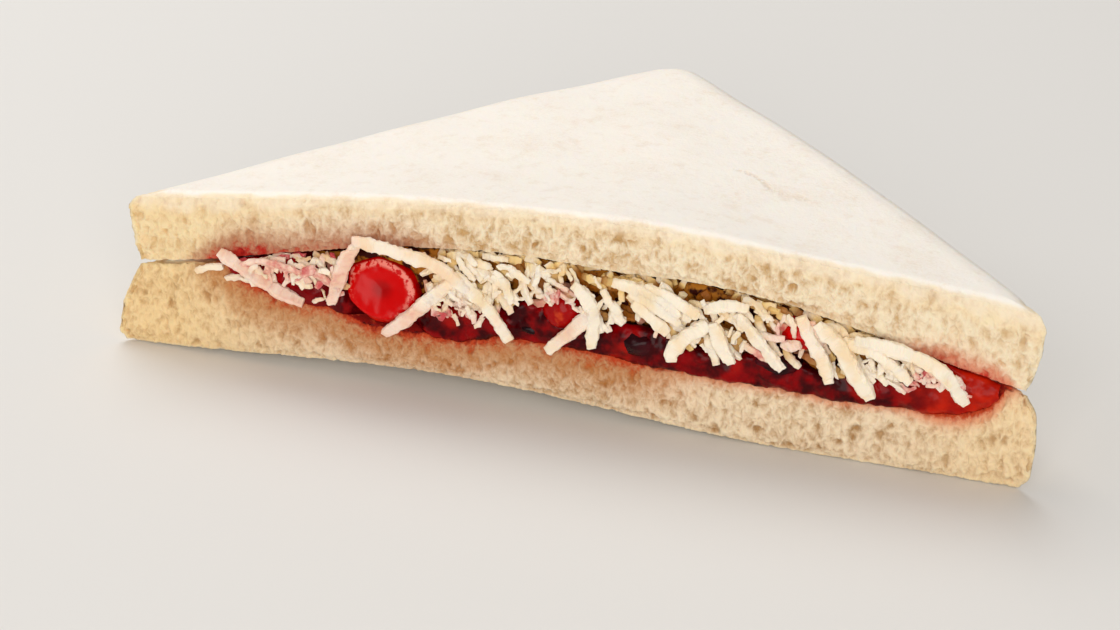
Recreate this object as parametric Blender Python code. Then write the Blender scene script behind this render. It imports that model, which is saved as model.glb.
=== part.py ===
"""One half of a crustless sandwich: soft white slices cut corner to corner over berry jam and grated cheese.

Metres, +Z up. The cut face looks along -Y, the square corner of the bread points to +Y, and the
origin is on the resting plane under the middle of the sandwich. The slices are pinched together
along their two trimmed sides and held apart by the filling along the cut.
"""

import math
import random

import bmesh
import bpy
from mathutils import Vector, noise

MM = 0.001

# Driving sizes of the bread
SLICE_SIDE = 95 * MM
HALF_CUT = SLICE_SIDE / math.sqrt(2)
FRONT_Y = -31.6 * MM
LATTICE = 26
CORNER_RADIUS = 4.5 * MM
TRIM_BULGE = 0.5 * MM
BACK_CORNER_SHIFT = 1.5 * MM
SEAM_LEFT_INSET = 1.5 * MM
SEAM_RIGHT_INSET = 0.95 * MM
SEAM_FRONT_INSET = 0.6 * MM
CLEARANCE = 0.3 * MM

# Height of the seam at the left, right and back corners, and its rise along the right side
SEAM_HEIGHTS = (13.4 * MM, 15.2 * MM, 14.4 * MM)
SEAM_RISE_RIGHT_SIDE = 0.9 * MM

# How the filling lifts the upper slice, coming in from the left and the right trimmed side
LIFT = 9.6 * MM
LIFT_LEFT = (40 * MM, 1.5)
LIFT_RIGHT = (38 * MM, 1.2)

# How far in the slices part, how soon the lower slice is sunk, and the height it is sunk to
PARTING_LEFT = (11.2 * MM, 9 * MM)
PARTING_RIGHT = (3.2 * MM, 7 * MM)
SUNK_LEFT = 11.3 * MM
SUNK_RIGHT = 10.1 * MM

# Upper face of the upper slice: corner heights, and how far it swells between the corners
TOP_HEIGHTS = (24.4 * MM, 27.7 * MM, 29.1 * MM)
SWELL_ALONG_CUT = 5.6 * MM
SWELL_LEFT_SIDE = 1.1 * MM
SWELL_RIGHT_SIDE = 1.4 * MM

# The underside arches a little off the table along the left of the cut
ARCH_HEIGHT = 3.0 * MM
ARCH_CENTRE = -18 * MM
ARCH_HALF_LENGTH = 52 * MM
ARCH_DEPTH = 30 * MM

# Filling: jam spread on the lower slice, deeper at both ends of the cut, with cheese on it
JAM_THICKNESS = 3.4 * MM
JAM_THICKER = 6.0 * MM
JAM_DEEP_LEFT = (-36 * MM, -9 * MM)
JAM_DEEP_RIGHT = (46 * MM, 9 * MM)
CHEESE_SLOT = 0.5 * MM
JAM_FROM_GAP = 1.3 * MM
CHEESE_FROM_GAP = 7.8 * MM
CHEESE_RIGHT_END = 48 * MM

SHRED_SEED = 7
LOOSE_SHREDS = 26


def smooth(t):
    """0 below 0, 1 above 1, and an even S between."""
    t = min(max(t, 0.0), 1.0)
    return t * t * (3 - 2 * t)


def wave(x, y, length, height, layer=0.0):
    """Gentle unevenness, height either way, with bumps about as long as length."""
    return height * noise.noise(Vector((x / length, y / length, layer)))


def insides(x, y):
    """How far a point lies inside the left and right trimmed sides, and behind the cut."""
    behind = y - FRONT_Y
    left = (x + HALF_CUT - behind) / math.sqrt(2)
    right = (HALF_CUT - x - behind) / math.sqrt(2)
    return left, right, behind


def shares_of(x, y):
    """The shares of the left, right and back corners of the slice that make up a point."""
    back = (y - FRONT_Y) / HALF_CUT
    return (1 - back - x / HALF_CUT) / 2, (1 - back + x / HALF_CUT) / 2, back


def underside(x, y):
    """The face that the sandwich rests on: flat, with a low arch at the left of the cut."""
    along = abs(x - ARCH_CENTRE) / ARCH_HALF_LENGTH
    back = (y - FRONT_Y) / ARCH_DEPTH
    if along >= 1 or back >= 1:
        return 0.0
    return ARCH_HEIGHT * math.cos(along * math.pi / 2) ** 2 * (1 - max(back, 0.0)) ** 2


def top_slice_bottom(x, y):
    """Lower face of the upper slice: at the seam along the trimmed sides, lifted in between."""
    shares = shares_of(x, y)
    height = sum(share * seam for share, seam in zip(shares, SEAM_HEIGHTS))
    height += SEAM_RISE_RIGHT_SIDE * 4 * shares[1] * shares[2]
    lift = LIFT
    for inside, (span, power) in zip(insides(x, y), (LIFT_LEFT, LIFT_RIGHT)):
        lift *= math.sin(math.pi / 2 * min(max(inside / span, 0.0), 1.0)) ** power
    return height + lift + wave(x, y, 14 * MM, 0.3 * MM)


def bottom_slice_top(x, y):
    """Upper face of the lower slice: against the upper slice at the sides, sunk under the filling."""
    parted = 1.0
    for inside, (start, span) in zip(insides(x, y), (PARTING_LEFT, PARTING_RIGHT)):
        short = 1 - min(max((inside - start) / span, 0.0), 1.0)
        parted *= math.sqrt(1 - short * short)
    sunk = SUNK_LEFT + (SUNK_RIGHT - SUNK_LEFT) * smooth((x + 6 * MM) / (24 * MM))
    sunk += wave(x, y, 11 * MM, 0.5 * MM, 1.0)
    touching = top_slice_bottom(x, y) - CLEARANCE
    return touching + (sunk - touching) * parted


def top_slice_top(x, y):
    """Upper face of the upper slice."""
    left, right, back = shares_of(x, y)
    height = sum(share * top for share, top in zip((left, right, back), TOP_HEIGHTS))
    height += SWELL_ALONG_CUT * max(4 * left * right, 0.0) ** 1.3
    height += SWELL_LEFT_SIDE * 27 / 4 * left * back * back + SWELL_RIGHT_SIDE * 4 * right * back
    return height + wave(x, y, 17 * MM, 0.45 * MM, 3.0)


def gap(x, y):
    """How far apart the slices are."""
    return top_slice_bottom(x, y) - bottom_slice_top(x, y)


def jam_top(x, y):
    """Upper face of the jam: a spread layer, deeper at both ends of the cut."""
    depth = JAM_THICKNESS + wave(x, y, 6 * MM, 1.0 * MM, 5.0)
    for start, ramp in (JAM_DEEP_LEFT, JAM_DEEP_RIGHT):
        depth += JAM_THICKER * smooth((x - start) / ramp)
    room = gap(x, y) - 2 * CLEARANCE
    return bottom_slice_top(x, y) + CLEARANCE + min(depth, room)


def cheese_top(x, y):
    """Upper face of the packed cheese, just short of the slice above."""
    slot = CHEESE_SLOT + abs(wave(x, y, 5 * MM, 0.8 * MM, 8.0))
    return top_slice_bottom(x, y) - CLEARANCE - slot


def corners(left_inset, right_inset, front_inset):
    """The triangle inside the trimmed slice that leaves these insets, as (x, y) of its corners."""
    left = front_inset + left_inset * math.sqrt(2) - HALF_CUT
    right = HALF_CUT - front_inset - right_inset * math.sqrt(2)
    back = (left_inset - right_inset) / math.sqrt(2)
    behind = HALF_CUT - (left_inset + right_inset) / math.sqrt(2)
    return (left, FRONT_Y + front_inset), (right, FRONT_Y + front_inset), (back, FRONT_Y + behind)


def outline_point(shares, insets):
    """Where a lattice point with these shares of the three corners lies, with the back corner round."""
    triangle = corners(*insets)
    x = sum(share * corner[0] for share, corner in zip(shares, triangle))
    y = sum(share * corner[1] for share, corner in zip(shares, triangle))
    on_side = 1 - min(shares[0], shares[1]) * LATTICE
    from_corner = (1 - shares[2]) * SLICE_SIDE
    if on_side > 0.5 and from_corner < CORNER_RADIUS:
        angle = math.copysign(from_corner / CORNER_RADIUS * math.pi / 4, shares[1] - shares[0])
        x = triangle[2][0] + CORNER_RADIUS * math.sin(angle)
        y = triangle[2][1] - CORNER_RADIUS * math.sqrt(2) + CORNER_RADIUS * math.cos(angle)
    bulge = TRIM_BULGE * 4 * shares[1] * shares[2] * (1 - shares[0]) ** 3
    return x + bulge / math.sqrt(2) + BACK_CORNER_SHIFT * shares[2], y + bulge / math.sqrt(2)


def triangle_lattice():
    """A flat triangle with its corners at the slice's corners, cut into LATTICE rows of small triangles."""
    bm = bmesh.new()
    ring = bmesh.ops.create_circle(bm, cap_ends=True, segments=3, radius=1.0)["verts"]
    for vert, (x, y) in zip(ring, corners(0.0, 0.0, 0.0)):
        vert.co = (x, y, 0.0)
    bmesh.ops.subdivide_edges(bm, edges=bm.edges[:], cuts=LATTICE - 1, use_grid_fill=True)
    bmesh.ops.triangulate(bm, faces=bm.faces[:])
    return bm


def layer_solid(name, keep, place, levels):
    """A closed solid over the lattice triangles whose points keep() accepts.

    place(shares, level, on_wall) gives each point; levels run from 0, the lower face, to 1.
    """
    bm = triangle_lattice()
    outside = [f for f in bm.faces if not all(keep(*v.co.xy) for v in f.verts)]
    bmesh.ops.delete(bm, geom=outside, context="FACES")
    lifted = bmesh.ops.extrude_face_region(bm, geom=bm.faces[:])["geom"]
    for item in lifted:
        if isinstance(item, bmesh.types.BMVert):
            item.co.z = 1.0
    upright = [e for e in bm.edges if abs(e.verts[0].co.z - e.verts[1].co.z) > 0.5]
    bmesh.ops.subdivide_edges(bm, edges=upright, cuts=len(levels) - 2, use_grid_fill=True)
    bmesh.ops.recalc_face_normals(bm, faces=bm.faces[:])
    wall_verts = {v for f in bm.faces if abs(f.normal.z) < 0.5 for v in f.verts}
    steps = len(levels) - 1
    for vert in bm.verts:
        level = levels[round(vert.co.z * steps)]
        vert.co = place(shares_of(*vert.co.xy), level, vert in wall_verts)
    bmesh.ops.triangulate(bm, faces=bm.faces[:])
    mesh = bpy.data.meshes.new(name)
    bm.to_mesh(mesh)
    bm.free()
    mesh.shade_smooth()
    mesh.set_sharp_from_angle(angle=math.radians(50))
    return bpy.data.objects.new(name, mesh)


# How far the left, right and front walls lie inside the slice's outline, from lower to upper face
SEAM_INSETS = (SEAM_LEFT_INSET, SEAM_RIGHT_INSET, SEAM_FRONT_INSET)
BOTTOM_WALLS = [
    (0, (-0.2 * MM, 0.2 * MM, 0.9 * MM)),
    (0.12, (-0.47 * MM, -0.3 * MM, 0.0)),
    (0.5, (-0.1 * MM, -0.53 * MM, 0.1 * MM)),
    (0.85, (1.2 * MM, -0.1 * MM, 0.1 * MM)),
    (1, SEAM_INSETS),
]
TOP_WALLS = [
    (0, SEAM_INSETS),
    (0.15, (1.6 * MM, 0.7 * MM, 0.1 * MM)),
    (0.5, (1.3 * MM, 0.3 * MM, 0.0)),
    (0.88, (0.5 * MM, 0.0, 0.2 * MM)),
    (1, (0.9 * MM, 0.5 * MM, 0.9 * MM)),
]


def slice_place(low, high, walls, layer):
    """The rule that puts a slice's points between two faces, with these walls."""
    rows = dict(walls)

    def place(shares, level, on_wall):
        x, y = outline_point(shares, rows[level])
        if on_wall and shares[2] < 0.5 / LATTICE and 0 < level < 1:
            y += wave(x, level * 8 * MM, 7 * MM, 0.45 * MM, layer)
        bottom = low(x, y)
        return x, y, bottom + (high(x, y) - bottom) * level

    return place


def everywhere(x, y):
    """Both slices cover the whole lattice."""
    return True


def jam_place(shares, level, on_wall):
    """Jam lies on the lower slice and swells a little out of the cut."""
    x, y = outline_point(shares, SEAM_INSETS)
    low = bottom_slice_top(x, y) + CLEARANCE
    z = low + (jam_top(x, y) - low) * level
    if shares[2] < 0.5 / LATTICE and 0 < level < 1:
        y -= 0.9 * MM + wave(x, z, 4 * MM, 0.6 * MM, 2.0)
    return x, y, z


def jam_region(x, y):
    """Lattice points where the slices leave room for jam."""
    x, y = outline_point(shares_of(x, y), SEAM_INSETS)
    return gap(x, y) > JAM_FROM_GAP


def cheese_place(shares, level, on_wall):
    """Packed cheese fills what the jam leaves, and slumps out of the cut."""
    x, y = outline_point(shares, SEAM_INSETS)
    low = jam_top(x, y) + CLEARANCE
    z = low + (cheese_top(x, y) - low) * level
    if shares[2] < 0.5 / LATTICE and 0 < level < 1:
        y -= 1.4 * MM * (1.2 - level) + wave(x, z, 3 * MM, 0.9 * MM, 4.0)
    return x, y, z


def cheese_region(x, y):
    """Lattice points with room for cheese between the jam and the slice above."""
    x, y = outline_point(shares_of(x, y), SEAM_INSETS)
    return gap(x, y) > CHEESE_FROM_GAP and x < CHEESE_RIGHT_END


# Berries in the jam: name, centre along the cut, height, distance behind the cut, half sizes in
# x, y and z, and whether the front is sliced off. All in millimetres.
BERRIES = [
    ("berry_halved", (-26.5, 16.2, 3.4), (5.2, 5.0, 4.6), True),
    ("berry_middle", (-0.4, 16.9, 2.6), (3.2, 3.0, 3.1), False),
    ("berry_right", (33.2, 19.2, 2.8), (3.1, 3.0, 2.4), False),
    ("berry_dark_left", (-5.2, 12.9, 2.2), (2.6, 2.6, 1.2), False),
    ("berry_dark_middle", (10.4, 13.3, 2.0), (3.9, 3.0, 2.3), False),
    ("berry_dark_right", (30.2, 13.5, 2.2), (3.8, 3.0, 2.3), False),
]
BERRY_CUT = 0.55


def berry_solid(name, centre, half_sizes, halved, grow=0.0):
    """A berry as a squashed ball; a halved one has its front sliced off, tipped slightly upwards."""
    bm = bmesh.new()
    bmesh.ops.create_uvsphere(bm, u_segments=12, v_segments=8, radius=1.0)
    for vert in bm.verts:
        lump = 1 + 0.09 * noise.noise(vert.co * 1.7 + Vector(centre))
        vert.co *= lump
    if halved:
        away = Vector((0.0, -1.0, 0.35)).normalized()
        geometry = bm.verts[:] + bm.edges[:] + bm.faces[:]
        cut = bmesh.ops.bisect_plane(
            bm, geom=geometry, plane_co=away * BERRY_CUT, plane_no=away, clear_outer=True
        )
        rim = [e for e in cut["geom_cut"] if isinstance(e, bmesh.types.BMEdge)]
        bmesh.ops.contextual_create(bm, geom=rim)
    along, height, behind = centre
    for vert in bm.verts:
        vert.co = (
            along * MM + vert.co.x * (half_sizes[0] * MM + grow),
            FRONT_Y + behind * MM + vert.co.y * (half_sizes[1] * MM + grow),
            height * MM + vert.co.z * (half_sizes[2] * MM + grow),
        )
    bmesh.ops.recalc_face_normals(bm, faces=bm.faces[:])
    mesh = bpy.data.meshes.new(name)
    bm.to_mesh(mesh)
    bm.free()
    mesh.shade_smooth()
    mesh.set_sharp_from_angle(angle=math.radians(50))
    return bpy.data.objects.new(name, mesh)


# Shreds on the jam at the left end, and shreds that hang out of the cheese: each as its width and the
# points it passes, along the cut and up, in millimetres. They are the ones that stand out; the loose
# ones further down follow a rule.
LYING_SHREDS = [
    (2.0, [(-51.6, 18.0), (-49.0, 16.7), (-45.0, 14.6), (-41.0, 13.0), (-38.6, 12.3)]),
    (1.3, [(-48.6, 16.3), (-45.6, 17.6), (-41.6, 17.5), (-39.0, 17.0)]),
    (1.2, [(-40.8, 15.6), (-36.8, 18.2)]),
    (1.3, [(-37.8, 17.6), (-33.2, 15.2)]),
]
HANGING_SHREDS = [
    (1.6, [(-31.0, 22.6), (-32.3, 20.4), (-33.4, 17.0), (-34.4, 12.8)]),
    (1.9, [(-31.6, 23.2), (-24.8, 22.6), (-18.6, 21.2), (-14.2, 18.4)]),
    (1.8, [(-16.4, 20.8), (-13.4, 18.0), (-10.9, 15.8), (-7.8, 11.6)]),
    (1.5, [(-16.6, 19.4), (-20.4, 15.4), (-23.0, 12.4), (-24.8, 9.8)]),
    (1.9, [(0.9, 22.0), (2.6, 20.4), (4.2, 18.0), (4.3, 15.6), (4.2, 12.6)]),
    (2.0, [(4.6, 18.6), (1.2, 14.6), (-2.2, 11.0)]),
    (1.4, [(-9.4, 21.0), (-7.6, 17.6)]),
    (1.7, [(6.5, 23.2), (10.5, 22.6), (14.3, 21.2), (16.4, 19.6)]),
    (1.7, [(11.0, 23.0), (15.0, 22.2), (19.2, 20.2)]),
    (1.7, [(8.9, 22.0), (12.8, 20.8), (16.4, 18.6)]),
    (1.6, [(9.6, 20.4), (12.5, 18.6), (15.0, 16.8)]),
    (2.3, [(20.6, 19.0), (17.8, 16.8), (15.8, 14.2), (15.8, 12.6)]),
    (2.3, [(21.0, 19.4), (22.8, 16.0), (24.4, 13.7)]),
    (1.9, [(24.4, 21.2), (28.4, 17.2), (31.6, 14.0)]),
    (1.5, [(19.8, 21.0), (22.8, 22.4), (26.0, 22.6)]),
    (2.0, [(33.2, 22.4), (35.1, 19.2), (37.2, 16.2), (38.3, 13.2)]),
    (1.6, [(31.2, 17.4), (33.8, 18.4)]),
    (2.4, [(35.6, 21.6), (39.0, 19.0), (41.3, 15.8), (44.2, 11.8)]),
    (1.7, [(39.4, 20.0), (44.2, 18.6), (47.2, 17.0), (49.4, 15.2)]),
    (2.0, [(41.0, 20.2), (47.4, 19.6), (52.4, 18.2), (55.2, 16.0), (57.4, 13.2)]),
]
SHRED_THICKNESS = 1.15
SHRED_OUT_FIRST = 1.5
SHRED_OUT_LAST = 2.1
SHRED_ROOT_BEHIND = 4.5
SHRED_STEP = 2.3
LEAN_OF_SHREDS = -42


def front_room(along, half_height):
    """Lowest and highest height, in millimetres, of a shred's middle between its root and the cut."""
    x = along * MM
    depths = [FRONT_Y + behind * MM for behind in (SHRED_ROOT_BEHIND, SHRED_ROOT_BEHIND / 2, 0.6)]
    low = max(jam_top(x, y) for y in depths) / MM + 0.5 + half_height
    high = min(cheese_top(x, y) for y in depths) / MM - half_height
    return (low, high) if low < high else ((low + high) / 2,) * 2


def shred_path(points, rooted):
    """Points in metres along a shred; a rooted one starts in the packed cheese, out of sight."""
    count = len(points) - 1
    knots = [
        Vector((x, -(SHRED_OUT_FIRST + (SHRED_OUT_LAST - SHRED_OUT_FIRST) * i / count), z))
        for i, (x, z) in enumerate(points)
    ]
    if rooted:
        along, _, height = knots[0]
        low, high = front_room(along, SHRED_THICKNESS / 2)
        height = min(max(height, low), high)
        lip = Vector((along, -SHRED_OUT_FIRST, height))
        if (knots[0] - lip).length < SHRED_STEP / 2:
            knots.pop(0)
        knots = [Vector((along, SHRED_ROOT_BEHIND, height)), lip, *knots]
    path = []
    for i in range(len(knots) - 1):
        before, here, after, beyond = (knots[min(max(i + k, 0), len(knots) - 1)] for k in (-1, 0, 1, 2))
        steps = max(1, round((after - here).length / SHRED_STEP))
        path += [catmull_rom(before, here, after, beyond, s / steps) for s in range(steps)]
    path.append(knots[-1])
    return [Vector((p.x * MM, FRONT_Y + p.y * MM, p.z * MM)) for p in path]


def catmull_rom(before, here, after, beyond, t):
    """A point on the smooth curve that passes through here at t = 0 and after at t = 1."""
    bend = 2 * before - 5 * here + 4 * after - beyond
    twist = 3 * here - before - 3 * after + beyond
    return (2 * here + t * (after - before) + t * t * bend + t * t * t * twist) / 2


def loose_shreds():
    """Shorter shreds between the hanging ones, most of them leaning down to the right."""
    draw = random.Random(SHRED_SEED)
    found = []
    for i in range(LOOSE_SHREDS):
        start = -19 + 66 * (i + draw.uniform(0.1, 0.9)) / LOOSE_SHREDS
        low, high = front_room(start, SHRED_THICKNESS / 2)
        height = low + (high - low) * draw.uniform(0.35, 1.0)
        lean = math.radians(LEAN_OF_SHREDS + draw.gauss(0, 30))
        length = draw.uniform(3.5, 6.5)
        end = (start + length * math.cos(lean), max(height + length * math.sin(lean), low - 1.0))
        found.append((draw.uniform(1.2, 1.8), [(start, height), end]))
    return found


def shred_solid(name, width, points, rooted):
    """One grated strip: a box bent along its path, lying flat in the cheese and flat on the cut."""
    path = shred_path(points, rooted)
    last = len(path) - 1
    bm = bmesh.new()
    bmesh.ops.create_cube(bm, size=1.0)
    lengthwise = [e for e in bm.edges if abs(e.verts[0].co.x - e.verts[1].co.x) > 0.5]
    bmesh.ops.subdivide_edges(bm, edges=lengthwise, cuts=last - 1, use_grid_fill=True)
    for vert in bm.verts:
        step = round((vert.co.x + 0.5) * last)
        ahead = (path[min(step + 1, last)] - path[max(step - 1, 0)]).normalized()
        turned = smooth(step / 3) if rooted else 1.0
        face = Vector((0.0, -turned, 1.0 - turned))
        face = (face - ahead * face.dot(ahead)).normalized()
        across = face.cross(ahead)
        sideways = across * (vert.co.y * width * MM)
        vert.co = path[step] + sideways + face * (vert.co.z * SHRED_THICKNESS * MM)
    mesh = bpy.data.meshes.new(name)
    bm.to_mesh(mesh)
    bm.free()
    return bpy.data.objects.new(name, mesh)


def apply_modifiers(obj):
    """Replaces the object's mesh by what its modifiers make of it."""
    graph = bpy.context.evaluated_depsgraph_get()
    made = bpy.data.meshes.new_from_object(obj.evaluated_get(graph))
    obj.modifiers.clear()
    obj.data = made


def combine(target, collection, operation):
    """Joins or cuts target with everything in a collection, and removes the collection's objects."""
    modifier = target.modifiers.new(operation.lower(), "BOOLEAN")
    modifier.operation = operation
    modifier.operand_type = "COLLECTION"
    modifier.solver = "MANIFOLD"
    modifier.collection = collection
    apply_modifiers(target)
    for obj in list(collection.objects):
        bpy.data.objects.remove(obj)
    bpy.data.collections.remove(collection)


def keep_largest_body(obj):
    """Fills sealed hollows and drops loose scraps: only the largest connected body stays."""
    bm = bmesh.new()
    bm.from_mesh(obj.data)
    bmesh.ops.triangulate(bm, faces=bm.faces[:], ngon_method="EAR_CLIP")
    seen, bodies = set(), []
    for start in bm.faces:
        if start in seen:
            continue
        body, reach = [], [start]
        seen.add(start)
        while reach:
            face = reach.pop()
            body.append(face)
            for edge in face.edges:
                if len(edge.link_faces) != 2:
                    continue
                for near in edge.link_faces:
                    if near not in seen:
                        seen.add(near)
                        reach.append(near)
        bodies.append(body)
    bodies.sort(key=len)
    for body in bodies[:-1]:
        bmesh.ops.delete(bm, geom=body, context="FACES")
    bmesh.ops.delete(bm, geom=[v for v in bm.verts if not v.link_faces], context="VERTS")
    bm.to_mesh(obj.data)
    bm.free()


def helper_collection(name, objects):
    """A collection of cutters or of pieces to be joined."""
    collection = bpy.data.collections.new(name)
    bpy.context.scene.collection.children.link(collection)
    for obj in objects:
        collection.objects.link(obj)
        obj.hide_render = True
        obj.display_type = "WIRE"
    return collection


def finish_material(obj, colour, roughness, specular=0.3):
    """Gives an object its own Principled material."""
    material = bpy.data.materials.new(obj.name)
    material.use_nodes = True
    shader = material.node_tree.nodes["Principled BSDF"]
    shader.inputs["Base Color"].default_value = (*colour, 1.0)
    shader.inputs["Roughness"].default_value = roughness
    shader.inputs["Metallic"].default_value = 0.0
    shader.inputs["Specular IOR Level"].default_value = specular
    obj.data.materials.clear()
    obj.data.materials.append(material)


def berry_cutters():
    """Balls a clearance larger than each berry, for the jam and the cheese."""
    grown = [
        berry_solid(name + "_cutter", centre, sizes, False, CLEARANCE * 1.6)
        for name, centre, sizes, _ in BERRIES
    ]
    return helper_collection("berry_cutters", grown)


def build():
    """Makes every solid of the sandwich half in its own named object."""
    for obj in list(bpy.data.objects):
        bpy.data.objects.remove(obj)
    sandwich = bpy.data.collections.new("cheese_sandwich")
    bpy.context.scene.collection.children.link(sandwich)

    lower = slice_place(underside, bottom_slice_top, BOTTOM_WALLS, 6.0)
    upper = slice_place(top_slice_bottom, top_slice_top, TOP_WALLS, 9.0)
    bread_bottom = layer_solid("bread_bottom", everywhere, lower, [level for level, _ in BOTTOM_WALLS])
    bread_top = layer_solid("bread_top", everywhere, upper, [level for level, _ in TOP_WALLS])
    jam = layer_solid("jam", jam_region, jam_place, [0, 0.3, 0.7, 1])
    cheese = layer_solid("cheese", cheese_region, cheese_place, [0, 0.25, 0.55, 0.8, 1])
    berries = [berry_solid(*berry) for berry in BERRIES]
    for obj in (bread_bottom, bread_top, jam, cheese, *berries):
        sandwich.objects.link(obj)

    rooted = HANGING_SHREDS + loose_shreds()
    shreds = [shred_solid(f"lying_{i}", *shred, False) for i, shred in enumerate(LYING_SHREDS)]
    shreds += [shred_solid(f"hanging_{i}", *shred, True) for i, shred in enumerate(rooted)]
    combine(cheese, helper_collection("shreds", shreds), "UNION")
    for filling in (cheese, jam):
        combine(filling, berry_cutters(), "DIFFERENCE")
        keep_largest_body(filling)

    finish_material(bread_bottom, (0.86, 0.72, 0.50), 0.9)
    finish_material(bread_top, (0.90, 0.82, 0.68), 0.9)
    finish_material(jam, (0.30, 0.02, 0.02), 0.15, 0.5)
    finish_material(cheese, (0.88, 0.76, 0.50), 0.55)
    for berry in berries:
        dark = "dark" in berry.name
        finish_material(berry, (0.10, 0.005, 0.015) if dark else (0.55, 0.01, 0.01), 0.2, 0.5)


build()
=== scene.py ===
"""The look of one half of a crustless cheese and berry jam sandwich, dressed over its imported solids."""

import math
import random

import bmesh
import bpy
import numpy as np
from mathutils import Matrix, Vector, noise


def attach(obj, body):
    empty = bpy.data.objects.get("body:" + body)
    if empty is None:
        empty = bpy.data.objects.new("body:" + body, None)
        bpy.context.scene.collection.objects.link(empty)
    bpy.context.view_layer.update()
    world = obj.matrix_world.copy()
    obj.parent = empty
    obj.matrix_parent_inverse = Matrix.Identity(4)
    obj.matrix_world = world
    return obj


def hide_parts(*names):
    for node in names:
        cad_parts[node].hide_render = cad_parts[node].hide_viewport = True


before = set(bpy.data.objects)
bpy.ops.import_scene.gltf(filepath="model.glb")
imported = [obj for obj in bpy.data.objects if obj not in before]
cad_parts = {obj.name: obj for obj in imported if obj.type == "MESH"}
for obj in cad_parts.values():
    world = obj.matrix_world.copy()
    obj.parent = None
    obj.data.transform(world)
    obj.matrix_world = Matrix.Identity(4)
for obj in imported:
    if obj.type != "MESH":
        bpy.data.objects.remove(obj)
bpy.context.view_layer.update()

# The lower slice. Soft white sandwich bread with its crusts cut off, halved corner to corner. The
# filling presses it thin along the cut, it arches a little off the table, and the two trimmed
# sides and the cut show open crumb with painted shade in its hollows, stained where the jam soaks
# in; from the left end to the middle it is browned far down, partly by jam, partly by painted shade.
MM = 0.001
SLICE_SIDE = 95 * MM
HALF_CUT = SLICE_SIDE / math.sqrt(2)
FRONT_Y = -31.6 * MM
CORNER_RADIUS = 4.5 * MM
TRIM_BULGE = 0.5 * MM
BACK_CORNER_SHIFT = 1.5 * MM
SEAM_HEIGHTS = (13.4 * MM, 15.2 * MM, 14.4 * MM)
SEAM_RISE_RIGHT_SIDE = 0.9 * MM
LIFT = 9.6 * MM
LIFT_LEFT = (40 * MM, 1.5)
LIFT_RIGHT = (38 * MM, 1.2)
PARTING_LEFT = (11.2 * MM, 9 * MM)
PARTING_RIGHT = (3.2 * MM, 7 * MM)
SUNK_LEFT = 11.3 * MM
SUNK_RIGHT = 10.1 * MM
CLEARANCE = 0.3 * MM
ARCH_HEIGHT = 3.0 * MM
ARCH_CENTRE = -18 * MM
ARCH_HALF_LENGTH = 52 * MM
ARCH_DEPTH = 30 * MM
SEAM_INSETS = (1.5 * MM, 0.95 * MM, 0.6 * MM)
# Each row of walls: a level, and the insets there of the left side, the right side and the cut.
BOTTOM_WALLS = [
    (0, (-0.2 * MM, 0.2 * MM, 0.9 * MM)),
    (0.12, (-0.47 * MM, -0.3 * MM, 0.0)),
    (0.5, (-0.1 * MM, -0.53 * MM, 0.1 * MM)),
    (0.85, (1.2 * MM, -0.1 * MM, 0.1 * MM)),
    (1, SEAM_INSETS),
]
WALL_SOFTNESS = 0.05
SLICE_ROWS = 100
SLICE_CUTS = (7, 2)
BOTTOM_STEPS = 48
BERRY_DENT = 1.9 * MM
DENT_SPAN = (-36, -29, -17, -8)
DENT_REACH = 10 * MM
BOTTOM_PORE = 1.5 * MM
BOTTOM_PORE_DEPTH = 0.75 * MM
BOTTOM_HOLE_DEPTH = 0.3 * MM
BOTTOM_SEED = 3.0
HOLE = 2.3 * MM
CUT_WAVE = 0.45 * MM
CUT_WAVE_LENGTH = 7 * MM
CUT_WAVES_UP = 8 * MM
EDGE_NOISE = 0.35
EDGE_NOISE_LENGTH = 2.6 * MM
ROUNDED_EDGE = 2.6 * MM
OPEN_EDGE = 2.2 * MM
FINE_RIM = 2.2 * MM
JUST = 0.01


def smooth(t):
    """0 below 0, 1 above 1, and an even S between."""
    t = min(max(t, 0.0), 1.0)
    return t * t * (3 - 2 * t)


def hill(t, start, top_start, top_end, end):
    """Rises from 0 at start to 1, stays 1 between the two tops, and falls to 0 at end."""
    return smooth((t - start) / (top_start - start)) * smooth((end - t) / (end - top_end))


def wave(x, y, length, height, layer=0.0):
    """Gentle unevenness, height either way, with bumps about as long as length."""
    return height * noise.noise(Vector((x / length, y / length, layer)))


def insides(x, y):
    """How far a point lies inside the left and right trimmed sides."""
    behind = y - FRONT_Y
    left = (x + HALF_CUT - behind) / math.sqrt(2)
    right = (HALF_CUT - x - behind) / math.sqrt(2)
    return left, right


def shares_of(x, y):
    """The shares of the left, right and back corners of the slice that make up a point."""
    back = (y - FRONT_Y) / HALF_CUT
    return (1 - back - x / HALF_CUT) / 2, (1 - back + x / HALF_CUT) / 2, back


def underside(x, y):
    """The face that the sandwich rests on: flat, with a low arch at the left of the cut."""
    along = abs(x - ARCH_CENTRE) / ARCH_HALF_LENGTH
    back = (y - FRONT_Y) / ARCH_DEPTH
    if along >= 1 or back >= 1:
        return 0.0
    return ARCH_HEIGHT * math.cos(along * math.pi / 2) ** 2 * (1 - max(back, 0.0)) ** 2


def top_slice_bottom(x, y):
    """Lower face of the upper slice: at the seam along the trimmed sides, lifted in between."""
    shares = shares_of(x, y)
    height = sum(share * seam for share, seam in zip(shares, SEAM_HEIGHTS))
    height += SEAM_RISE_RIGHT_SIDE * 4 * shares[1] * shares[2]
    lift = LIFT
    for inside, (span, power) in zip(insides(x, y), (LIFT_LEFT, LIFT_RIGHT)):
        lift *= math.sin(math.pi / 2 * min(max(inside / span, 0.0), 1.0)) ** power
    return height + lift + wave(x, y, 14 * MM, 0.3 * MM)


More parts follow.
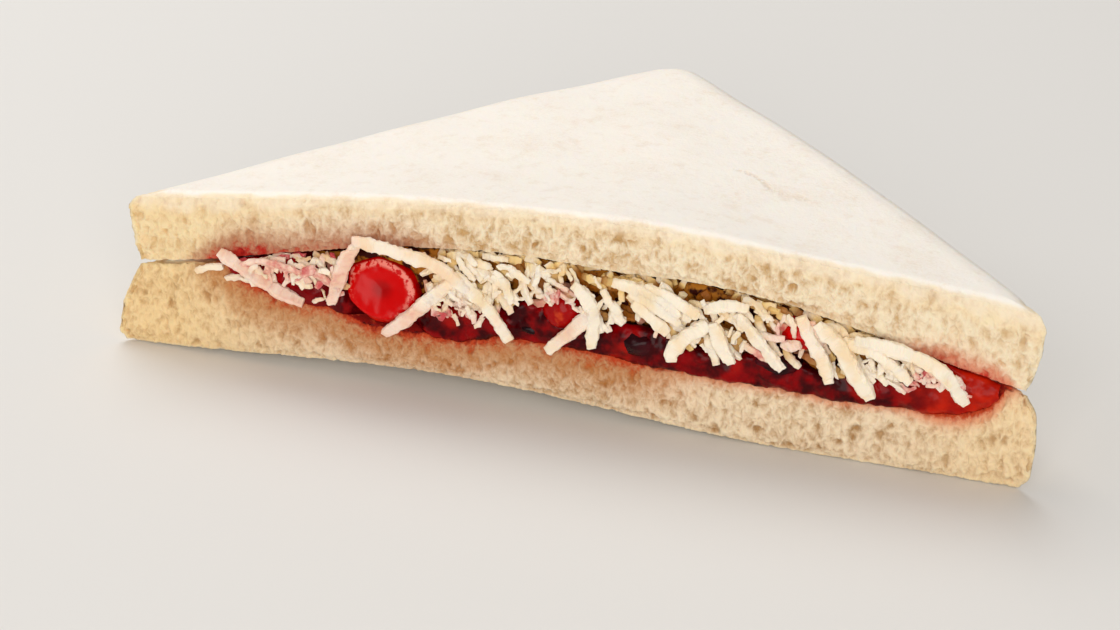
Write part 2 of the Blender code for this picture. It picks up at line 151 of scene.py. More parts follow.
def bottom_slice_top(x, y):
    """Upper face of the lower slice: against the upper slice at the sides, sunk under the filling."""
    parted = 1.0
    for inside, (start, span) in zip(insides(x, y), (PARTING_LEFT, PARTING_RIGHT)):
        short = 1 - min(max((inside - start) / span, 0.0), 1.0)
        parted *= math.sqrt(1 - short * short)
    sunk = SUNK_LEFT + (SUNK_RIGHT - SUNK_LEFT) * smooth((x + 6 * MM) / (24 * MM))
    sunk += wave(x, y, 11 * MM, 0.5 * MM, 1.0)
    touching = top_slice_bottom(x, y) - CLEARANCE
    return touching + (sunk - touching) * parted


def pressed_top(x, y):
    """Upper face of the lower slice as it looks, dented at the cut where the halved berry sits."""
    fade = 1 - smooth((y - FRONT_Y) / DENT_REACH)
    return bottom_slice_top(x, y) - BERRY_DENT * fade * hill(x / MM, *DENT_SPAN)


def gap(x, y):
    """How far apart the slices are."""
    return top_slice_bottom(x, y) - bottom_slice_top(x, y)


def corners(left_inset, right_inset, front_inset):
    """The triangle inside the trimmed slice that leaves these insets, as (x, y) of its corners."""
    left = front_inset + left_inset * math.sqrt(2) - HALF_CUT
    right = HALF_CUT - front_inset - right_inset * math.sqrt(2)
    back = (left_inset - right_inset) / math.sqrt(2)
    behind = HALF_CUT - (left_inset + right_inset) / math.sqrt(2)
    return (left, FRONT_Y + front_inset), (right, FRONT_Y + front_inset), (back, FRONT_Y + behind)


def outline_point(shares, insets):
    """Where a point with these shares of the three corners lies, with the back corner rounded."""
    reach = CORNER_RADIUS / SLICE_SIDE
    a, b = 1 - shares[0] / reach, 1 - shares[1] / reach
    if a > 0 and b > 0:
        left = reach * (1 - a * math.sqrt(1 - b * b / 2))
        right = reach * (1 - b * math.sqrt(1 - a * a / 2))
        shares = (left, right, 1 - left - right)
    triangle = corners(*insets)
    x = sum(share * corner[0] for share, corner in zip(shares, triangle))
    y = sum(share * corner[1] for share, corner in zip(shares, triangle))
    bulge = TRIM_BULGE * 4 * shares[1] * shares[2] * (1 - shares[0]) ** 3
    return x + bulge / math.sqrt(2) + BACK_CORNER_SHIFT * shares[2], y + bulge / math.sqrt(2)


def wall_insets(walls, level):
    """The insets of the three walls at a level, from 0 at the lower face to 1 at the upper."""
    heights = [row[0] for row in walls]
    near = [level - WALL_SOFTNESS, level, level, level + WALL_SOFTNESS]
    sides = [[row[1][side] for row in walls] for side in range(3)]
    return tuple(float(np.interp(near, heights, insets).mean()) for insets in sides)


def in_scene(name, data):
    """An object made of this data, in the scene."""
    made = bpy.data.objects.new(name, data)
    bpy.context.scene.collection.objects.link(made)
    return made


def piece_from(bm, name):
    """The shape in bm as a smooth-shaded object in the scene."""
    mesh = bpy.data.meshes.new(name)
    bm.to_mesh(mesh)
    bm.free()
    mesh.shade_smooth()
    return in_scene(name, mesh)


def layered_mesh(name, rows, cuts, steps, keep, place, marks=(), fine_rim=False):
    """A closed mesh over the slice's triangle: small triangles below and above, and walls between.

    keep(x, y) says which lattice points count. place(shares, level, walled) gives each point's
    place and the values of its marks, which become attributes. cuts are the cuts in each lattice
    edge along the cut and along the trimmed sides.
    """
    bm = bmesh.new()
    ring = bmesh.ops.create_circle(bm, cap_ends=True, segments=3, radius=1.0)["verts"]
    for vert, (x, y) in zip(ring, corners(0.0, 0.0, 0.0)):
        vert.co = (x, y, 0.0)
    bmesh.ops.subdivide_edges(bm, edges=bm.edges[:], cuts=rows - 1, use_grid_fill=True)
    bmesh.ops.triangulate(bm, faces=bm.faces[:])
    outside = [f for f in bm.faces if not all(keep(*v.co.xy) for v in f.verts)]
    bmesh.ops.delete(bm, geom=outside, context="FACES")
    edge_rows = [e for e in bm.edges if e.is_boundary]
    front = [e for e in edge_rows if all(v.co.y < FRONT_Y + JUST * MM for v in e.verts)]
    sides = list(set(edge_rows) - set(front))
    bmesh.ops.subdivide_edges(bm, edges=front, cuts=cuts[0])
    bmesh.ops.subdivide_edges(bm, edges=sides, cuts=cuts[1])
    bmesh.ops.triangulate(bm, faces=bm.faces[:])
    lifted = bmesh.ops.extrude_face_region(bm, geom=bm.faces[:])["geom"]
    for item in lifted:
        if isinstance(item, bmesh.types.BMVert):
            item.co.z = 1.0
    upright = [e for e in bm.edges if abs(e.verts[0].co.z - e.verts[1].co.z) > 0.5]
    bmesh.ops.subdivide_edges(bm, edges=upright, cuts=steps - 1, use_grid_fill=True)
    if fine_rim:
        rim_end = FRONT_Y + FINE_RIM
        rim = [e for e in bm.edges if all(v.co.z > 1 - JUST and v.co.y < rim_end for v in e.verts)]
        rim = [e for e in rim if any(v.co.y > FRONT_Y + JUST * MM for v in e.verts)]
        bmesh.ops.subdivide_edges(bm, edges=rim, cuts=2, use_grid_fill=True)
        bmesh.ops.triangulate(bm, faces=bm.faces[:])
    bmesh.ops.recalc_face_normals(bm, faces=bm.faces[:])
    layers = [bm.verts.layers.float.new(mark) for mark in marks]
    walled = {v for f in bm.faces if abs(f.normal.z) < 0.5 for v in f.verts}
    for vert in bm.verts:
        point, values = place(shares_of(*vert.co.xy), vert.co.z, vert in walled)
        for layer, value in zip(layers, values):
            vert[layer] = value
        vert.co = point
    bmesh.ops.triangulate(bm, faces=bm.faces[:])
    return piece_from(bm, name)


def slice_place(low, high, walls, layer, stain_and_shade, soft_rim=0.0):
    """The rule that puts a slice's points between two faces, with these walls and this mark of jam and
    painted shade.

    soft_rim is how far the crumb closes up towards the upper edge, 0 to 1, and how far in
    millimetres that edge is rounded down. With it, the trimmed sides close fully at that edge.
    Every slice's crumb is half closed along its lowest edge.
    """

    def place(shares, level, walled):
        x, y = outline_point(shares, wall_insets(walls, level))
        if shares[2] < JUST / SLICE_ROWS:
            inner = min(1.0, level / 0.12, (1 - level) / 0.12)
            y += inner * wave(x, level * CUT_WAVES_UP, CUT_WAVE_LENGTH, CUT_WAVE, layer)
        edge = min(shares) * SLICE_SIDE
        bottom = low(x, y)
        thickness = high(x, y) - bottom - soft_rim * MM * (1 - smooth(edge / ROUNDED_EDGE))
        fade = EDGE_NOISE * noise.noise(Vector((x / EDGE_NOISE_LENGTH, y / EDGE_NOISE_LENGTH, level * 3)))
        cut = 1 - soft_rim * smooth((level - 0.5) / 0.5 + fade)
        if soft_rim:
            behind_cut = smooth((shares[2] * SLICE_SIDE - 2 * MM) / (4 * MM))
            cut *= 1 - behind_cut * smooth((level - 0.9) / 0.1)
        cut *= 0.45 + 0.55 * smooth(level / 0.06)
        if not walled:
            cut *= 1 - smooth(edge / OPEN_EDGE + fade)
        soak_and_shade = stain_and_shade(x, y, level * thickness, thickness)
        return (x, y, bottom + thickness * level), (cut, soak_and_shade)

    return place


def everywhere(x, y):
    """Both slices cover the whole triangle."""
    return True


def bottom_stain_and_shade(x, y, height, thickness):
    """Jam soaks into the top of the lower slice, deepest near both ends of the filling. From the left end
    to the middle a wide browning reaches far down the slice, partly jam and partly painted shade.
    """
    below = max(thickness - height, 0.0) / MM
    along = x / MM
    behind = 1 - smooth((y - FRONT_Y) / (14 * MM))
    # From the left end to the middle the browning reaches far down the slice: partly jam, partly painted
    # shade.
    soak_and_shade = 0.6 * hill(along, -60, -50, 6, 26) * math.exp(-((below / 6.5) ** 2))
    soak_and_shade += 0.45 * hill(along, 46, 57, 61, 67) * math.exp(-((below / 2.6) ** 2))
    right = smooth((along - 2) / 22)
    edge = (0.65 + 0.3 * right) * hill(along, -56, -46, 60, 66) * math.exp(-below / (0.5 + 0.4 * right))
    return behind * (soak_and_shade + edge)


def find_socket(sockets, key):
    """A socket by its number, its identifier, or the name of one that is in use."""
    if isinstance(key, int):
        return sockets[key]
    for socket in sockets:
        if socket.identifier == key:
            return socket
    return next(socket for socket in sockets if socket.name == key and socket.enabled)


class Wire:
    """One output of a node on a board; arithmetic on it adds the Math nodes."""

    def __init__(self, board, socket):
        self.board = board
        self.socket = socket

    def other(self, name):
        """Another output of the same node."""
        return Wire(self.board, find_socket(self.socket.node.outputs, name))

    def math(self, operation, *values):
        """A Math node that works on this and the values."""
        sockets = dict(enumerate((self, *values)))
        return self.board.add("ShaderNodeMath", {"operation": operation}, sockets)

    def __add__(self, value):
        return self.math("ADD", value)

    __radd__ = __add__

    def __sub__(self, value):
        return self.math("SUBTRACT", value)

    def __rsub__(self, value):
        return self.board.add("ShaderNodeMath", {"operation": "SUBTRACT"}, {0: value, 1: self})

    def __mul__(self, value):
        return self.math("MULTIPLY", value)

    __rmul__ = __mul__

    def __truediv__(self, value):
        return self.math("DIVIDE", value)

    def __rtruediv__(self, value):
        return self.board.add("ShaderNodeMath", {"operation": "DIVIDE"}, {0: value, 1: self})

    def ramp(self, low, high, start=0.0, end=1.0):
        """Runs evenly from start to end as this goes from low to high, and stays there outside."""
        settings = {"interpolation_type": "SMOOTHSTEP"}
        sockets = {"Value": self, "From Min": low, "From Max": high, "To Min": start, "To Max": end}
        return self.board.add("ShaderNodeMapRange", settings, sockets)


class Board:
    """A node tree while it is wired up."""

    def __init__(self, tree):
        self.tree = tree

    def add(self, kind, settings=None, sockets=None, out=None):
        """Adds a node: its settings first, then the values or wires of its sockets."""
        node = self.tree.nodes.new(kind)
        for key, value in (settings or {}).items():
            setattr(node, key, value)
        for key, value in (sockets or {}).items():
            socket = find_socket(node.inputs, key)
            if isinstance(value, Wire):
                self.tree.links.new(value.socket, socket)
            else:
                socket.default_value = value
        if not node.outputs:
            return None
        in_use = [socket for socket in node.outputs if socket.enabled]
        return Wire(self, find_socket(node.outputs, out) if out else in_use[0])

    def mix(self, factor, first, second, blend="MIX"):
        """A colour between two colours."""
        settings = {"data_type": "RGBA", "blend_type": blend, "clamp_factor": True}
        sockets = {"Factor_Float": factor, "A_Color": first, "B_Color": second}
        return self.add("ShaderNodeMix", settings, sockets, "Result_Color")

    def vector(self, operation, *values, scale=None):
        """A Vector Math node."""
        sockets = dict(enumerate(values))
        if scale is not None:
            sockets["Scale"] = scale
        return self.add("ShaderNodeVectorMath", {"operation": operation}, sockets)

    def parts(self, vector):
        """The X of a vector; its Y and Z are the other outputs."""
        return self.add("ShaderNodeSeparateXYZ", None, {0: vector})

    def noise(self, place, scale, detail, out=None, **more):
        """Cloudy noise."""
        sockets = {"Vector": place, "Scale": scale, "Detail": detail, **more}
        return self.add("ShaderNodeTexNoise", None, sockets, out)

    def cells(self, place, scale, feature="F1", **more):
        """The distance to the nearest of scattered points."""
        sockets = {"Vector": place, "Scale": scale, **more}
        return self.add("ShaderNodeTexVoronoi", {"feature": feature}, sockets)

    def attribute(self, name, out="Fac"):
        """What the points of a piece carry under this name, in a material."""
        return self.add("ShaderNodeAttribute", {"attribute_name": name}, None, out)

    def named(self, name, kind="FLOAT"):
        """What the points of a piece carry under this name, in a Geometry Nodes tree."""
        sockets = {"Name": name}
        return self.add("GeometryNodeInputNamedAttribute", {"data_type": kind}, sockets, "Attribute")

    def here(self):
        """The place on the piece, in a material."""
        return self.add("ShaderNodeTexCoord", None, None, "Object")


def paint(red, green, blue):
    """A colour from its screen values, 0 to 255."""
    return (*[(value / 255) ** 2.2 for value in (red, green, blue)], 1.0)


def new_material(name, roughness, subsurface, radius, **uniform):
    """A Principled material and the board to wire it on."""
    material = bpy.data.materials.new(name)
    material.use_nodes = True
    tree = material.node_tree
    shader = tree.nodes["Principled BSDF"]
    shader.inputs["Roughness"].default_value = roughness
    shader.inputs["Subsurface Weight"].default_value = subsurface
    shader.inputs["Subsurface Radius"].default_value = radius
    shader.inputs["Subsurface Scale"].default_value = MM
    for key, value in uniform.items():
        shader.inputs[key.replace("_", " ")].default_value = value
    return material, Board(tree), shader


def connect(board, wire, shader, name):
    """Leads a wire into one of a shader's sockets."""
    board.tree.links.new(wire.socket, shader.inputs[name])


def roughen(board, shader, strength, distance, height):
    """Gives a shader fine relief that follows this height."""
    sockets = {"Strength": strength, "Distance": distance, "Height": height}
    connect(board, board.add("ShaderNodeBump", None, sockets), shader, "Normal")


def new_tree(name, inputs):
    """A Geometry Nodes tree with a Geometry input and output and these named inputs."""
    tree = bpy.data.node_groups.new(name, "GeometryNodeTree")
    tree.interface.new_socket("Geometry", in_out="INPUT", socket_type="NodeSocketGeometry")
    tree.interface.new_socket("Geometry", in_out="OUTPUT", socket_type="NodeSocketGeometry")
    for key, kind in inputs.items():
        tree.interface.new_socket(key, in_out="INPUT", socket_type="NodeSocket" + kind)
    board = Board(tree)
    given = board.add("NodeGroupInput")
    return tree, board, given


def finish_tree(board, given, geometry):
    """Ends a tree: instances become real, and the mesh gets the tree's material."""
    realized = board.add("GeometryNodeRealizeInstances", None, {"Geometry": geometry})
    sockets = {"Geometry": realized, "Material": given.other("Finish")}
    board.add("NodeGroupOutput", None, {"Geometry": board.add("GeometryNodeSetMaterial", None, sockets)})


def run_tree(piece, tree, **values):
    """Runs a tree on a piece with these input values and leaves the plain mesh it makes."""
    modifier = piece.modifiers.new(tree.name, "NODES")
    modifier.node_group = tree
    named = {item.name: item.identifier for item in tree.interface.items_tree if item.in_out == "INPUT"}
    for key, value in values.items():
        modifier[named[key.replace("_", " ")]] = value
    graph = bpy.context.evaluated_depsgraph_get()
    made = bpy.data.meshes.new_from_object(piece.evaluated_get(graph))
    piece.modifiers.clear()
    piece.data = made


def crumb_pattern(board, place, pore, hole, seed):
    """The crumb's pores, its larger holes and its grain at a place, each from 0 to about 1."""
    in_pores = board.vector("SCALE", place, scale=1 / pore)
    shifted = board.vector("ADD", in_pores, board.add("ShaderNodeCombineXYZ", None, {0: seed}))
    drift = board.noise(shifted, 0.9, 3.0, "Color")
    pushed = board.vector("MULTIPLY_ADD", drift, (1.6, 1.6, 1.6), shifted)
    pulled = board.vector("MULTIPLY", pushed, (1.0, 1.0, 0.66))
    fine = board.cells(pulled, 1.6)
    coarse = board.cells(pulled, 0.75)
    fibre_place = board.vector("MULTIPLY", shifted, (1.25, 1.25, 0.8))
    fibre = board.noise(fibre_place, 1.25, 4.0, Roughness=0.62, Distortion=0.7)
    coarse_share = board.parts(coarse.other("Color")) * 0.4 + 0.2
    pores = (
        fibre.ramp(0.3, 0.7) * 0.45
        + fine.ramp(0.0, 0.75, 1.0, 0.0) * 0.3
        + coarse.ramp(0.0, 0.62, 1.0, 0.0) * coarse_share
    )
    hole_cells = board.cells(board.vector("SCALE", pushed, scale=pore / hole), 1.0)
    open_cells = board.parts(hole_cells.other("Color")).ramp(0.6, 0.9)
    holes = hole_cells.ramp(0.05, 0.4, 1.0, 0.0) * open_cells
    grain = board.noise(shifted, 4.0, 3.0, Roughness=0.7)
    return pores, holes, grain


def crumb_tree():
    """Sinks pores and holes into the cut faces of a slice, and keeps where each point was before."""
    tree, board, given = new_tree(
        "Open crumb",
        {"Pore": "Float", "Pore Depth": "Float", "Hole": "Float", "Hole Depth": "Float",
         "Seed": "Float", "Finish": "Material"},
    )
    place = board.add("GeometryNodeInputPosition")
    normal = board.add("GeometryNodeInputNormal")
    pores, holes, grain = crumb_pattern(
        board, place, given.other("Pore"), given.other("Hole"), given.other("Seed")
    )
    depth = (pores + (grain - 0.5) * 0.3) * given.other("Pore Depth") + holes * given.other("Hole Depth")
    sunk = board.vector("SCALE", normal, scale=depth * board.named("cut") * -1.0)
    marked = board.add(
        "GeometryNodeStoreNamedAttribute",
        {"data_type": "FLOAT_VECTOR", "domain": "POINT"},
        {"Geometry": given, "Name": "rest", "Value": place},
    )
    moved = board.add("GeometryNodeSetPosition", None, {"Geometry": marked, "Offset": sunk})
    finish_tree(board, given, moved)
    return tree


def crease(board, place, start, end, width, bow):
    """1 on a short bowed line across the sliced face, broken by tears, and 0 a width away from it.

    start, end, width and bow are in millimetres.
    """
    ahead = (Vector(end) - Vector(start)) / 2
    half = ahead.length
    ahead.normalize()
    middle = (Vector(start) + Vector(end)) / 2
    axes = board.parts(place)
    x = axes * (1 / MM) - middle.x
    y = axes.other("Y") * (1 / MM) - middle.y
    lengthwise = x * ahead.x + y * ahead.y
    across = y * ahead.x - x * ahead.y + lengthwise * lengthwise * (bow / half**2)
    past = (lengthwise.math("ABSOLUTE") - half).math("MAXIMUM", 0.0)
    away = (across * across + past * past).math("SQRT")
    return away.ramp(0.0, width, 1.0, 0.0) * board.noise(place, 900.0, 2.0).ramp(0.36, 0.56)


def crumb_material(name, pore, seed, wall, hollow, skin, warm_ends, stain_and_shade_colours, creases=()):
    """Bread: pale crumb walls, painted shade in the hollows, a nearly white sliced face, and marks of
    jam.

    warm_ends is how golden the left and right ends are. The four jam colours are the crumb taken up
    with jam on the left, partly painted shade, and on the right, the crumb against the jam, and its edge.
    creases are marks on the sliced face, darkened with the hollows' painted shade.
    """
    material, board, shader = new_material(
        name, 0.85, 0.3, (0.6, 0.45, 0.3), Specular_IOR_Level=0.15, Sheen_Weight=0.05
    )
    rest = board.attribute("rest", "Vector")
    cut = board.attribute("cut")
    stain_and_shade = board.attribute("stain_and_shade")
    pores, holes, grain = crumb_pattern(board, rest, pore, HOLE, seed)
    patch = board.noise(rest, 110.0, 3.0)
    speck = board.noise(rest, 420.0, 4.0, Roughness=0.7)
    along = board.parts(rest)
    behind = along.other("Y")
    marks = [crease(board, rest, *line) * strength for *line, strength in creases]

    # Painted shade: pores, holes and grain darken the crumb towards the hollow colour, more near the cut
    # and less at both ends.
    hollow_shading = (pores + holes * 0.45 + (grain - 0.5) * 0.3 + (patch - 0.5) * 0.6).ramp(0.05, 1.1)
    calm = along.ramp(-20 * MM, -52 * MM) + along.ramp(40 * MM, 60 * MM)
    at_cut = behind.ramp(FRONT_Y + 10 * MM, FRONT_Y + 4 * MM, 0.62, 1.0)
    even = board.mix(hollow_shading * (1.0 - calm * 0.3) * at_cut, wall, hollow)
    left_warmth = along.ramp(-30 * MM, -62 * MM) * warm_ends[0]
    right_warmth = along.ramp(44 * MM, 64 * MM) * warm_ends[1]
    near_cut = behind.ramp(FRONT_Y + 60 * MM, FRONT_Y + 6 * MM)
    crumb = board.mix((left_warmth + right_warmth) * near_cut, even, WARM_TINT, "MULTIPLY")

    # The sliced face is specked with the hollow colour, painted shade of its fine pores.
    mottle = (grain + patch - 1.0).ramp(-0.1, 0.5, 0.0, 0.16) + speck.ramp(0.5, 0.72, 0.0, 0.13)
    face = board.mix(mottle, skin, hollow)
    # Painted shade in the creases: they are darkened with the hollow colour, besides their dent in the
    # relief.
    for mark in marks:
        face = board.mix(mark, face, hollow)
    # Painted shade: the band where the cut face rounds into the sliced face faces the fill light, so it
    # is darkened a little.
    rim = cut.ramp(0.04, 0.3) * cut.ramp(0.95, 0.55)
    body = board.mix(cut.ramp(0.1, 0.85), face, crumb)
    body = board.mix(rim * 0.6, body, RIM_SHADE_TINT, "MULTIPLY")

    # Partly painted shade: the wide brown reach down the lower slice and the tinge up from the upper
    # slice's lower edge.
    soak_and_shade = stain_and_shade * (0.75 + 0.5 * grain) + (pores - 0.45) * stain_and_shade * 0.5
    wet_and_shaded = board.mix(along.ramp(6 * MM, 30 * MM), stain_and_shade_colours[0], stain_and_shade_colours[1])
    body = board.mix(soak_and_shade.ramp(0.0, 0.5, 0.0, 0.76), body, wet_and_shaded)
    body = board.mix(soak_and_shade.ramp(0.45, 0.8), body, stain_and_shade_colours[2])
    body = board.mix(soak_and_shade.ramp(0.8, 1.15), body, stain_and_shade_colours[3])
    connect(board, body, shader, "Base Color")

    relief = (pores * 0.8 + (grain - 0.5) * 0.45) * cut.ramp(0.0, 1.0, -0.2, -1.0)
    for mark in marks:
        relief = relief - mark
    roughen(board, shader, 0.7, 0.45 * MM, relief)
    return material


WARM_TINT = paint(255, 234, 170)
# Painted shade for the band where the cut face rounds into the sliced face.
RIM_SHADE_TINT = paint(250, 240, 214)
crumb_relief = crumb_tree()
bottom_slice = layered_mesh(
    "slice_bottom", SLICE_ROWS, SLICE_CUTS, BOTTOM_STEPS, everywhere,
    slice_place(underside, pressed_top, BOTTOM_WALLS, 6.0, bottom_stain_and_shade), ("cut", "stain_and_shade"),
)
# The lower slice's crumb is painted darker than the upper's, in its walls, hollows and sliced face:
# painted shade, as it lies under the upper slice.
bottom_crumb = crumb_material(
    "bread_crumb", BOTTOM_PORE, BOTTOM_SEED, paint(248, 226, 193), paint(178, 136, 88),
    paint(250, 240, 222), (0.52, 0.3),
    (paint(186, 116, 54), paint(226, 140, 100), paint(196, 76, 42), paint(140, 22, 14)),
)
run_tree(
    bottom_slice, crumb_relief, Pore=BOTTOM_PORE, Pore_Depth=BOTTOM_PORE_DEPTH, Hole=HOLE,
    Hole_Depth=BOTTOM_HOLE_DEPTH, Seed=BOTTOM_SEED, Finish=bottom_crumb,
)
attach(bottom_slice, "root")
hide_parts("bread_bottom")

# The jam. Cooked berries spread on the lower slice, deeper at both ends of the cut, where it
# swells out between the slices. It is dark purple where it is thick and clear red at the ends.
JAM_THICKNESS = 3.4 * MM
JAM_THICKER = 6.0 * MM
JAM_DEEP_LEFT = (-36 * MM, -9 * MM)
JAM_DEEP_RIGHT = (46 * MM, 9 * MM)
JAM_FROM_GAP = 1.3 * MM
JAM_ROWS = 110
JAM_STEPS = 14
JAM_SOAK = 0.5 * MM
JAM_SWELL = 0.8 * MM
JAM_BEHIND_BERRY = 2.6 * MM
BERRY_WINDOW = (-33.5, -30, -23.5, -19.5)
JAM_MOUNDS = [(-9, -6, -3, -1), (5, 8, 14, 17), (27, 29, 32, 34)]
JAM_MOUND = 1.7 * MM
LUMP = 1.7 * MM
LUMP_HEIGHT = 0.42 * MM


def jam_top(x, y):
    """Upper face of the jam: a spread layer, deeper at both ends of the cut."""
    depth = JAM_THICKNESS + wave(x, y, 6 * MM, 1.0 * MM, 5.0)
    for start, ramp in (JAM_DEEP_LEFT, JAM_DEEP_RIGHT):
        depth += JAM_THICKER * smooth((x - start) / ramp)
    for mound in JAM_MOUNDS:
        depth += JAM_MOUND * hill(x / MM, *mound) * (1 - smooth((y - FRONT_Y) / (8 * MM)))
    room = gap(x, y) - 2 * CLEARANCE
    return bottom_slice_top(x, y) + CLEARANCE + min(depth, room)


def jam_place(shares, level, walled):
    """Jam lies in the lower slice's crumb and swells a little out of the cut."""
    x, y = outline_point(shares, SEAM_INSETS)
    low = pressed_top(x, y) - JAM_SOAK
    z = low + (jam_top(x, y) - low) * level
    if shares[2] < JUST / JAM_ROWS:
        swell = math.sin(math.pi * min(max(level, 0.0), 1.0)) ** 0.5
        y -= swell * (JAM_SWELL + wave(x, z, 4 * MM, JAM_SWELL, 2.0))
        y += JAM_BEHIND_BERRY * hill(x / MM, *BERRY_WINDOW)
    return (x, y, z), ()


def jam_region(x, y):
    """Where the slices leave room for jam."""
    x, y = outline_point(shares_of(x, y), SEAM_INSETS)
    return gap(x, y) > JAM_FROM_GAP


def lump_tree():
    """Raises rounded lumps of fruit and fine pulp all over a piece."""
    tree, board, given = new_tree(
        "Fruit lumps", {"Lump": "Float", "Lump Height": "Float", "Finish": "Material"}
    )
    place = board.add("GeometryNodeInputPosition")
    normal = board.add("GeometryNodeInputNormal")
    in_lumps = board.vector("SCALE", place, scale=given.other("Lump").math("POWER", -1.0))
    lump = board.cells(in_lumps, 1.0, "SMOOTH_F1", Smoothness=0.6)
    pulp = board.noise(in_lumps, 3.1, 2.0)
    height = (0.5 - lump) * 1.4 + (pulp - 0.5) * 0.9
    raised = board.vector("SCALE", normal, scale=height * given.other("Lump Height"))
    moved = board.add("GeometryNodeSetPosition", None, {"Geometry": given, "Offset": raised})
    finish_tree(board, given, moved)
    return tree


def jam_material():
    """Glossy jam: dark purple flesh with redder jelly between, clear red towards the right end."""
    material, board, shader = new_material(
        "berry_jam", 0.2, 0.2, (2.0, 0.3, 0.25), Specular_IOR_Level=0.1
    )
    place = board.here()
    along = board.parts(place)
    clot = board.noise(place, 340.0, 3.0)
    thin = board.noise(place, 170.0, 2.0)
    flesh = board.mix(clot.ramp(0.38, 0.66), paint(60, 3, 12), paint(140, 8, 14))
    flesh = board.mix(thin.ramp(0.58, 0.7) * 0.6, flesh, paint(176, 26, 14))
    clear = board.mix(clot.ramp(0.3, 0.7), paint(146, 8, 6), paint(198, 40, 16))
    body = board.mix(along.ramp(46 * MM, 56 * MM), flesh, clear)
    body = board.mix(along.ramp(-30 * MM, -42 * MM) * 0.55, body, paint(168, 22, 26))
    connect(board, body, shader, "Base Color")
    roughen(board, shader, 0.35, 0.25 * MM, board.noise(place, 900.0, 2.0))
    return material


fruit_lumps = lump_tree()
jam = layered_mesh("jam_spread", JAM_ROWS, (3, 1), JAM_STEPS, jam_region, jam_place)
run_tree(jam, fruit_lumps, Lump=LUMP, Lump_Height=LUMP_HEIGHT, Finish=jam_material())
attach(jam, "root")
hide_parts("jam")

# The berries. Whole cooked berries sit in the jam, three red ones and three nearly black; the
# knife has halved the largest, whose cut face looks out of the sandwich.
# Each berry: its centre along, up and behind the cut, and its half sizes, in millimetres.
BERRIES = [
    ("berry_halved", (-27.5, 14.7, 2.1), (5.7, 5.0, 4.9), True),
    ("berry_middle", (-0.6, 16.6, 1.5), (3.2, 3.0, 3.0), False),
    ("berry_right", (33.2, 18.6, 1.9), (3.1, 3.0, 2.4), False),
    ("berry_dark_left", (-5.2, 12.9, 2.2), (2.6, 2.6, 1.2), False),
    ("berry_dark_middle", (10.4, 13.3, 2.0), (3.9, 3.0, 2.3), False),
    ("berry_dark_right", (30.2, 13.5, 2.2), (3.8, 3.0, 2.3), False),
]
BERRY_CUT = 0.42
BERRY_SOFTNESS = 0.12
BERRY_TAPER = 0.22
BERRY_LEAN = 0.1


def berry_mesh(name, centre, half_sizes, halved):
    """A berry as a squashed ball with a lumpy skin; a halved one has a flat, slightly sunken front."""
    bm = bmesh.new()
    bmesh.ops.create_uvsphere(bm, u_segments=96, v_segments=64, radius=1.0)
    away = Vector((0.0, -1.0, 0.35)).normalized()
    faced = bm.verts.layers.float.new("flesh")
    rim = bm.verts.layers.float.new("rim")
    core = bm.verts.layers.float.new("core")
    reach = math.sqrt(1 - BERRY_CUT**2)
    for vert in bm.verts:
        coarse = noise.noise(vert.co * 1.7 + Vector(centre))
        fine = noise.noise(vert.co * 5.0 + Vector(centre))
        vert.co *= 1 + 0.09 * coarse + 0.02 * fine
        if halved:
            over = vert.co.dot(away) - BERRY_CUT
            eased = (over + math.sqrt(over * over + BERRY_SOFTNESS**2)) / 2
            vert.co -= away * eased
            if over > 0:
                from_middle = (vert.co - away * vert.co.dot(away)).length / reach
                vert[faced] = smooth(over / 0.08)
                vert[core] = 1 - smooth(from_middle / 0.6)
                # The rim shows more towards the top and right: painted highlight where the cut edge
                # catches the light.
                towards = vert.co.normalized().dot(Vector((0.45, 0.0, 0.9)))
                vert[rim] = smooth((from_middle - 0.62) / 0.34) * (0.55 + 0.6 * towards)
                vert.co -= away * 0.09 * (1 - smooth(from_middle / 0.75))
                vert.co += away * 0.015 * noise.noise(vert.co * 4.0)
            low = max(-vert.co.z, 0.0)
            vert.co.x = vert.co.x * (1 - BERRY_TAPER * low) - BERRY_LEAN * vert.co.z
    along, height, behind = centre
    for vert in bm.verts:
        vert.co = (
            (along + vert.co.x * half_sizes[0]) * MM,
            FRONT_Y + (behind + vert.co.y * half_sizes[1]) * MM,
            (height + vert.co.z * half_sizes[2]) * MM,
        )
    return piece_from(bm, name)


def berry_material(name, skin, deep, flesh, pale, burst):
    """Wet skin over soft flesh; the cut face is deeper in the middle, with a pale frayed rim that is
    partly paler flesh and partly painted highlight along its upper right edge.

    The berry in the middle of the sandwich has burst: it is deep with patches of the burst colour.
    """
    material, board, shader = new_material(
        name, 0.2, 0.25, (2.6, 0.4, 0.3), Specular_IOR_Level=0.14
    )
    place = board.here()
    cloud = board.noise(place, 420.0, 3.0)
    fray = board.noise(place, 1500.0, 3.0)
    outside = board.mix(cloud.ramp(0.35, 0.7), skin, deep)
    core = (board.attribute("core") + (cloud - 0.5) * 0.6).ramp(0.2, 0.9, 0.0, 0.75)
    rim = board.attribute("rim") * fray.ramp(0.38, 0.6, 0.1, 1.5) + (cloud - 0.5) * 0.5
    inside = board.mix(rim.ramp(0.12, 0.95), board.mix(core, flesh, deep), pale)
    along = board.parts(place)
    middle = along.ramp(-14 * MM, -8 * MM) * along.ramp(14 * MM, 8 * MM)
    torn = board.mix(cloud.ramp(0.5, 0.66, 0.0, 0.7), deep, burst)
    body = board.mix(middle, board.mix(board.attribute("flesh"), outside, inside), torn)
    connect(board, body, shader, "Base Color")
    roughen(board, shader, 0.2, 0.12 * MM, board.noise(place, 1100.0, 2.0))
    return material


